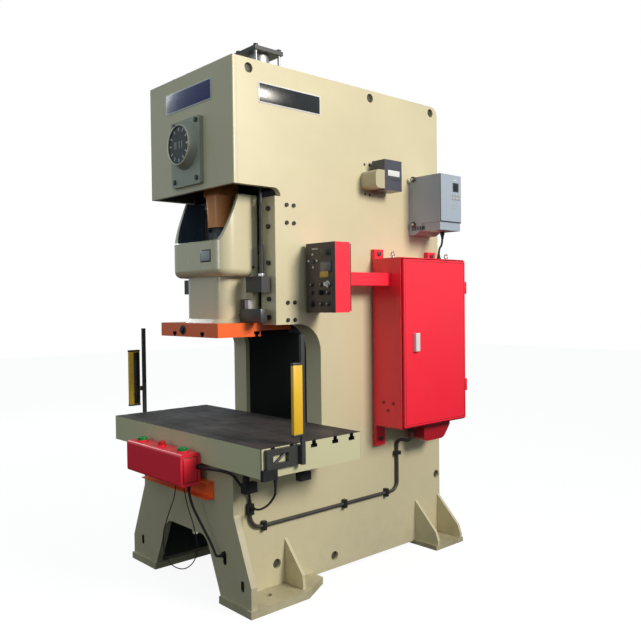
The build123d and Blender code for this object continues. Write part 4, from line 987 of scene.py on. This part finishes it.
slide_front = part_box("slide_body")[0].y
rating_low = (0.077, slide_front - 0.002, 1.894)
rating_high = (0.182, slide_front + 0.001, 1.965)
framed_plate("slide_rating_plate", rating_low, rating_high, dull_grey, black_gloss, "ram")
scale_x = 0.285
scale_y = throat_y - 0.367
scale_low = (scale_x - 0.001, scale_y - 0.011, 1.870)
scale_high = (scale_x + 0.002, scale_y + 0.011, 1.980)
slab("height_scale", scale_low, scale_high, dull_grey, "ram", edge=0.0006)
along_x("scale_pointer", scale_x, scale_x + 0.012, scale_y, 1.862, 0.008, charcoal, "ram")
lug_top_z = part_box("slide_lugs")[1].z
rod_nut = along_z(
    "rod_nut_right",
    balancer_x,
    balancer_y,
    lug_top_z,
    lug_top_z + 0.018,
    0.024,
    plated,
    "ram",
    sides=6,
)
moved(rod_nut, "rod_nut_left", (-2 * balancer_x, 0, 0), "ram")
plate_low, plate_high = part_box("slide_plate")
block_x = 0.224
block_y = throat_y - 0.420
block_z = plate_high.z
slab(
    "stop_block_base",
    (block_x, block_y, block_z),
    (block_x + 0.200, block_y + 0.048, block_z + 0.080),
    charcoal,
    "ram",
    edge=0.003,
)
slab(
    "stop_block_post",
    (block_x + 0.002, block_y + 0.004, block_z + 0.078),
    (block_x + 0.035, block_y + 0.044, block_z + 0.136),
    charcoal,
    "ram",
    edge=0.003,
)
slab(
    "stop_block_sensor",
    (block_x + 0.040, block_y + 0.006, block_z + 0.079),
    (block_x + 0.076, block_y + 0.040, block_z + 0.131),
    dull_grey,
    "ram",
    edge=0.003,
)
knob_y = block_y + 0.020
knob_z = block_z + 0.041
along_x("stop_block_knob", block_x - 0.018, block_x + 0.002, knob_y, knob_z, 0.013, charcoal, "ram")
shank_x = -0.056
shank_z = 1.501
shank_y = plate_low.y
along_y("shank_screw_seat", shank_x, shank_y - 0.004, shank_y + 0.004, shank_z, 0.029, charcoal, "ram")
along_y(
    "shank_screw_head",
    shank_x,
    shank_y - 0.014,
    shank_y - 0.003,
    shank_z,
    0.019,
    dark_steel,
    "ram",
    sides=6,
)


# Operator panel

face_y = throat_y - 0.120
slab("name_strip", (0.526, face_y - 0.001, 1.957), (0.580, face_y, 1.966), dull_grey, edge=0.0005)
display_y = face_y - 0.003
framed_plate("counter_display", (0.600, display_y, 1.918), (0.684, face_y, 1.960), dark_screen, charcoal)
framed_plate("menu_display", (0.593, display_y, 1.824), (0.694, face_y, 1.888), screen, charcoal)
card_low = (0.595, face_y - 0.0035, 1.796)
slab("yellow_card", card_low, (0.667, face_y, 1.830), yellow_plastic, edge=0.001)
pad_x = 0.536
pad_z = 1.891
along_y("pad_button", pad_x, face_y + 0.001, face_y - 0.005, pad_z, 0.012, charcoal)
ring("pad_ring", (pad_x, face_y - 0.001, pad_z), (0, 1, 0), 0.022, 0.0015, grey_plastic)
key = along_y("arrow_key_1", 0.535, face_y + 0.001, face_y - 0.005, 1.930, 0.0065, white, edge=0.0015)
for number, (dx, dz) in enumerate(((-0.035, -0.036), (0.036, -0.037), (0.003, -0.074)), 2):
    moved(key, f"arrow_key_{number}", (dx, 0, dz))

# Controls below the displays: a collar, a cap and most with a pale stud, a painted glint
columns = (0.524, 0.606, 0.661)
rows = (1.757, 1.710, 1.645)
first_x = columns[0]
first_z = rows[0]
collar = along_y(
    "control_collar_1", first_x, face_y + 0.001, face_y - 0.003, first_z, 0.0155, charcoal
)
cap = along_y("control_cap_1", first_x, face_y, face_y - 0.012, first_z, 0.0105, face_brown, edge=0.002)
# The pale stud is a painted glint on the cap
painted_glint = along_y(
    "control_glint_stud_1",
    first_x,
    face_y - 0.011,
    face_y - 0.0135,
    first_z + 0.001,
    0.0042,
    dull_grey,
    edge=0.0008,
)
# The first control, the key switch, the selector and the start button
filled_places = ((0, 0), (2, 0), (1, 1), (0, 2))
plain_cap = (0, 1)
number = 2
for column, x in enumerate(columns):
    for row, z in enumerate(rows):
        if (column, row) in filled_places:
            continue
        offset = (x - first_x, 0, z - first_z)
        moved(collar, f"control_collar_{number}", offset)
        moved(cap, f"control_cap_{number}", offset)
        if (column, row) != plain_cap:
            moved(painted_glint, f"control_glint_stud_{number}", offset)
        number += 1
along_y("key_switch_collar", columns[2], face_y + 0.001, face_y - 0.005, first_z, 0.0185, plated)


# Cabinet: lifting eyes, rail bolts, shell screws, and the lines pressed round the door

shell_low, shell_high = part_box("cabinet_shell")
door_low, door_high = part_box("cabinet_door")
rail_face_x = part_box("cabinet_rails")[1].x
eye_x = 0.590
eye_y = throat_y + 0.505
eye_spacing = 0.535
stem = along_z("eye_stem_front", eye_x, eye_y, shell_high.z, shell_high.z + 0.012, 0.011, plated)
moved(stem, "eye_stem_rear", (0, eye_spacing, 0))
eye_ring = ring("eye_ring_front", (eye_x, eye_y, shell_high.z + 0.026), (0, 1, 0), 0.014, 0.004, plated)
moved(eye_ring, "eye_ring_rear", (0, eye_spacing, 0))
rail_spacing = 0.525
bolt = along_x(
    "rail_bolt_1",
    rail_face_x - 0.001,
    rail_face_x + 0.009,
    throat_y + 0.495,
    1.960,
    0.016,
    charcoal,
    sides=6,
)
moved(bolt, "rail_bolt_2", (0, rail_spacing, 0))
low_bolt = moved(bolt, "rail_bolt_3", (0, 0, -1.185))
moved(low_bolt, "rail_bolt_4", (0, rail_spacing, 0))
stud = along_y(
    "shell_screw_1", 0.547, shell_low.y - 0.006, shell_low.y + 0.001, 1.017, 0.010, dark_red
)
moved(stud, "shell_screw_2", (0.081, 0, -0.001))
moved(stud, "shell_screw_3", (0.037, 0, -0.048))

# The door's face is the cabinet's back, its depth, the door's gap and the door's thickness away
cabinet_back_x = 0.447 + 0.033
cabinet_depth = 0.220
door_gap = 0.0005
door_thickness = 0.016
face_x = cabinet_back_x + cabinet_depth + door_gap + door_thickness
line_x = face_x + 0.0006
line_width = 0.003
cabinet_front_y = throat_y + 0.453
cabinet_width = 0.636
line_front_y = cabinet_front_y + 0.022
line_rear_y = cabinet_front_y + cabinet_width - 0.022
line_low_z = door_low.z + 0.012
line_high_z = door_high.z - 0.012
across = slab(
    "door_line_low",
    (face_x, line_front_y, line_low_z),
    (line_x, line_rear_y, line_low_z + line_width),
    dark_red,
    "door",
    edge=0.0002,
)
moved(across, "door_line_high", (0, 0, line_high_z - line_low_z - line_width), "door")
upright = slab(
    "door_line_front",
    (face_x, line_front_y, line_low_z),
    (line_x, line_front_y + line_width, line_high_z),
    dark_red,
    "door",
    edge=0.0002,
)
moved(upright, "door_line_rear", (0, line_rear_y - line_front_y - line_width, 0), "door")


# Inverter: cover seams, display, keys, mounting ears with screws, and dark slabs in the vents, a painted
# shade in the openings

box_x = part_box("inverter_box")[1].x
box_y = throat_y + 0.826
upright_seam_low = (box_x - 0.001, box_y, 2.172)
upright_seam_high = (box_x + 0.001, box_y + 0.006, 2.478)
slab("inverter_front_seam", upright_seam_low, upright_seam_high, charcoal, edge=0.0004)
low_seam_low = (box_x - 0.001, box_y, 2.170)
low_seam_high = (box_x + 0.001, box_y + 0.219, 2.176)
slab("inverter_low_seam", low_seam_low, low_seam_high, charcoal, edge=0.0004)
display_high = (box_x + 0.003, box_y + 0.190, 2.430)
framed_plate("inverter_display", (box_x, box_y + 0.130, 2.372), display_high, dark_screen, charcoal)
lamp_high = (box_x + 0.002, box_y + 0.165, 2.450)
slab("inverter_lamp", (box_x, box_y + 0.142, 2.443), lamp_high, white, edge=0.0004)
pad_high = (box_x + 0.003, box_y + 0.150, 2.358)
pad = slab("inverter_key_1", (box_x, box_y + 0.124, 2.341), pad_high, dull_grey, edge=0.001)
number = 2
for dz in (0, -0.022):
    for dy in (0, 0.031, 0.062):
        if (dy, dz) == (0, 0):
            continue
        moved(pad, f"inverter_key_{number}", (0, dy, dz))
        number += 1
line_high = (box_x + 0.0015, box_y + 0.180, 2.288)
line = slab("inverter_line_1", (box_x, box_y + 0.128, 2.282), line_high, dull_grey, edge=0.0004)
moved(line, "inverter_line_2", (0, 0, -0.022))
ear_x = 0.490
ear_z = 2.468
ear_drop = 0.302
ear = along_y("inverter_mount_1", ear_x, box_y + 0.0005, box_y - 0.012, ear_z, 0.018, charcoal)
moved(ear, "inverter_mount_2", (0, 0, -ear_drop))
screw = along_y("inverter_screw_1", ear_x, box_y - 0.011, box_y - 0.016, ear_z, 0.009, plated)
moved(screw, "inverter_screw_2", (0, 0, -ear_drop))
# Black slabs, a painted shade in the vent openings
vent_low = (0.474, box_y - 0.0012, 2.126)
vent_shade_slab = slab("inverter_vent_shade_1", vent_low, (0.482, box_y + 0.001, 2.152), black_plastic, edge=0.0004)
vent_spacing = 0.014
for number in range(2, 9):
    moved(vent_shade_slab, f"inverter_vent_shade_{number}", (vent_spacing * (number - 1), 0, 0.0))


# Cam switch: blank label, lid seam, cable glands, and dark discs for the holes of its bracket, painted
# shade in the holes

cam_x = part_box("cam_switch")[1].x
label_low = (cam_x - 0.0005, throat_y + 0.478, 2.444)
label_high = (cam_x + 0.0012, throat_y + 0.585, 2.480)
slab("cam_label", label_low, label_high, white, edge=0.0004)
lid_low = (cam_x - 0.001, throat_y + 0.449, 2.421)
lid_high = (cam_x + 0.0008, throat_y + 0.605, 2.425)
slab("cam_lid_seam", lid_low, lid_high, black_plastic, edge=0.0003)
cam_rear_y = throat_y + 0.604
along_y("cam_gland_1", 0.525, cam_rear_y, cam_rear_y + 0.028, 2.420, 0.021, plated, edge=0.002)
along_y("cam_gland_2", 0.500, cam_rear_y, cam_rear_y + 0.036, 2.470, 0.016, black_plastic, edge=0.002)
# Dark discs, a painted shade in the bracket's holes
hole_shade_dot = along_x(
    "cam_bracket_hole_shade_1",
    side_x - 0.001,
    side_x + 0.0008,
    throat_y + 0.404,
    2.524,
    0.009,
    charcoal,
    edge=0.0003,
)
for number, (dy, dz) in enumerate(((0.046, 0), (0.004, -0.187), (0.045, -0.187)), 2):
    moved(hole_shade_dot, f"cam_bracket_hole_shade_{number}", (0, dy, dz))


# Light curtains: bars with end caps and lens strips, and a strut in the right bracket

curtain_low, curtain_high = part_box("light_curtains")
z0 = curtain_low.z
z1 = curtain_high.z
cap_height = 0.012
lens_reach = 0.0125
post_y = throat_y - 0.4825
for side, x, y0, y1 in (
    ("right", 0.835, throat_y - 0.538, throat_y - 0.4765),
    ("left", -0.835, throat_y - 0.585, throat_y - 0.506),
):
    sensor = slab(
        f"sensor_bar_{side}",
        (x - 0.011, y0, z0 + 0.008),
        (x + 0.011, y1, z1 - cap_height),
        yellow,
        edge=0.003,
    )
    cap_piece = slab(
        f"sensor_cap_{side}",
        (x - 0.012, y0 - 0.001, z1 - cap_height),
        (x + 0.012, y1 + 0.001, z1),
        charcoal,
    )
    foot_piece = moved(cap_piece, f"sensor_foot_{side}", (0, 0, z0 - z1 + cap_height))
    lens_x = x - lens_reach if x > 0 else x + lens_reach
    lens = slab(
        f"sensor_lens_{side}",
        (lens_x - 0.0015, y1 - 0.6 * (y1 - y0), z0 + 0.014),
        (lens_x + 0.0015, y1 - 0.006, z1 - 0.016),
        black_gloss,
        edge=0.0006,
    )
    clamp = slab(
        f"sensor_clamp_{side}",
        (x - 0.008, y1 - 0.001, z0 + 0.10),
        (x + 0.008, max(y1 + 0.002, post_y), z0 + 0.13),
        charcoal,
    )
    bar_piece = joined(f"light_curtain_{side}", [sensor, cap_piece, foot_piece, lens, clamp])
    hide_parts("light_curtains")
strut_x = 0.802
strut_start = (strut_x, throat_y - 0.640, 0.834)
strut_end = (strut_x, throat_y - 0.552, 0.892)
turned("curtain_strut", strut_start, strut_end, 0.007, charcoal, edge=0.0005, sides=20)


# Table: cover strips in the slots and a cover plate in the hole

table_low, table_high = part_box("table")
cover = table_finish()
table_middle_y = (table_low.y + table_high.y) / 2
hole_radius = 0.090
strip_half_width = 0.0137
strip_depth = 0.004
strip_start_x = table_low.x + 0.001
strip_end_x = table_high.x - 0.014
strip_top = table_high.z - 0.0006
strip_y = table_middle_y - 0.280
strip_low = (strip_start_x, strip_y - strip_half_width, strip_top - strip_depth)
strip_high = (strip_end_x, strip_y + strip_half_width, strip_top)
strip = slab("slot_strip_1", strip_low, strip_high, cover, edge=0.0006)
for number, shift in ((2, 0.125), (3, 0.435), (4, 0.560)):
    moved(strip, f"slot_strip_{number}", (0, shift, 0))
near_hole = hole_radius - 0.002
for side, x0, x1 in (("left", strip_start_x, -near_hole), ("right", near_hole, strip_end_x)):
    slab(
        f"slot_strip_{side}",
        (x0, table_middle_y - strip_half_width, strip_top - strip_depth),
        (x1, table_middle_y + strip_half_width, strip_top),
        cover,
        edge=0.0006,
    )
along_z(
    "hole_cover",
    0,
    table_middle_y,
    table_high.z - 0.012,
    table_high.z - 0.0004,
    hole_radius - 0.0015,
    cover,
    edge=0.001,
    sides=64,
)


# Two-hand station: end plate

station_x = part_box("station_box")[1].x
end_plate_low = (station_x, throat_y - 0.830, 0.668)
end_plate_high = (station_x + 0.002, throat_y - 0.735, 0.812)
framed_plate("station_end_plate", end_plate_low, end_plate_high, red, dark_red)
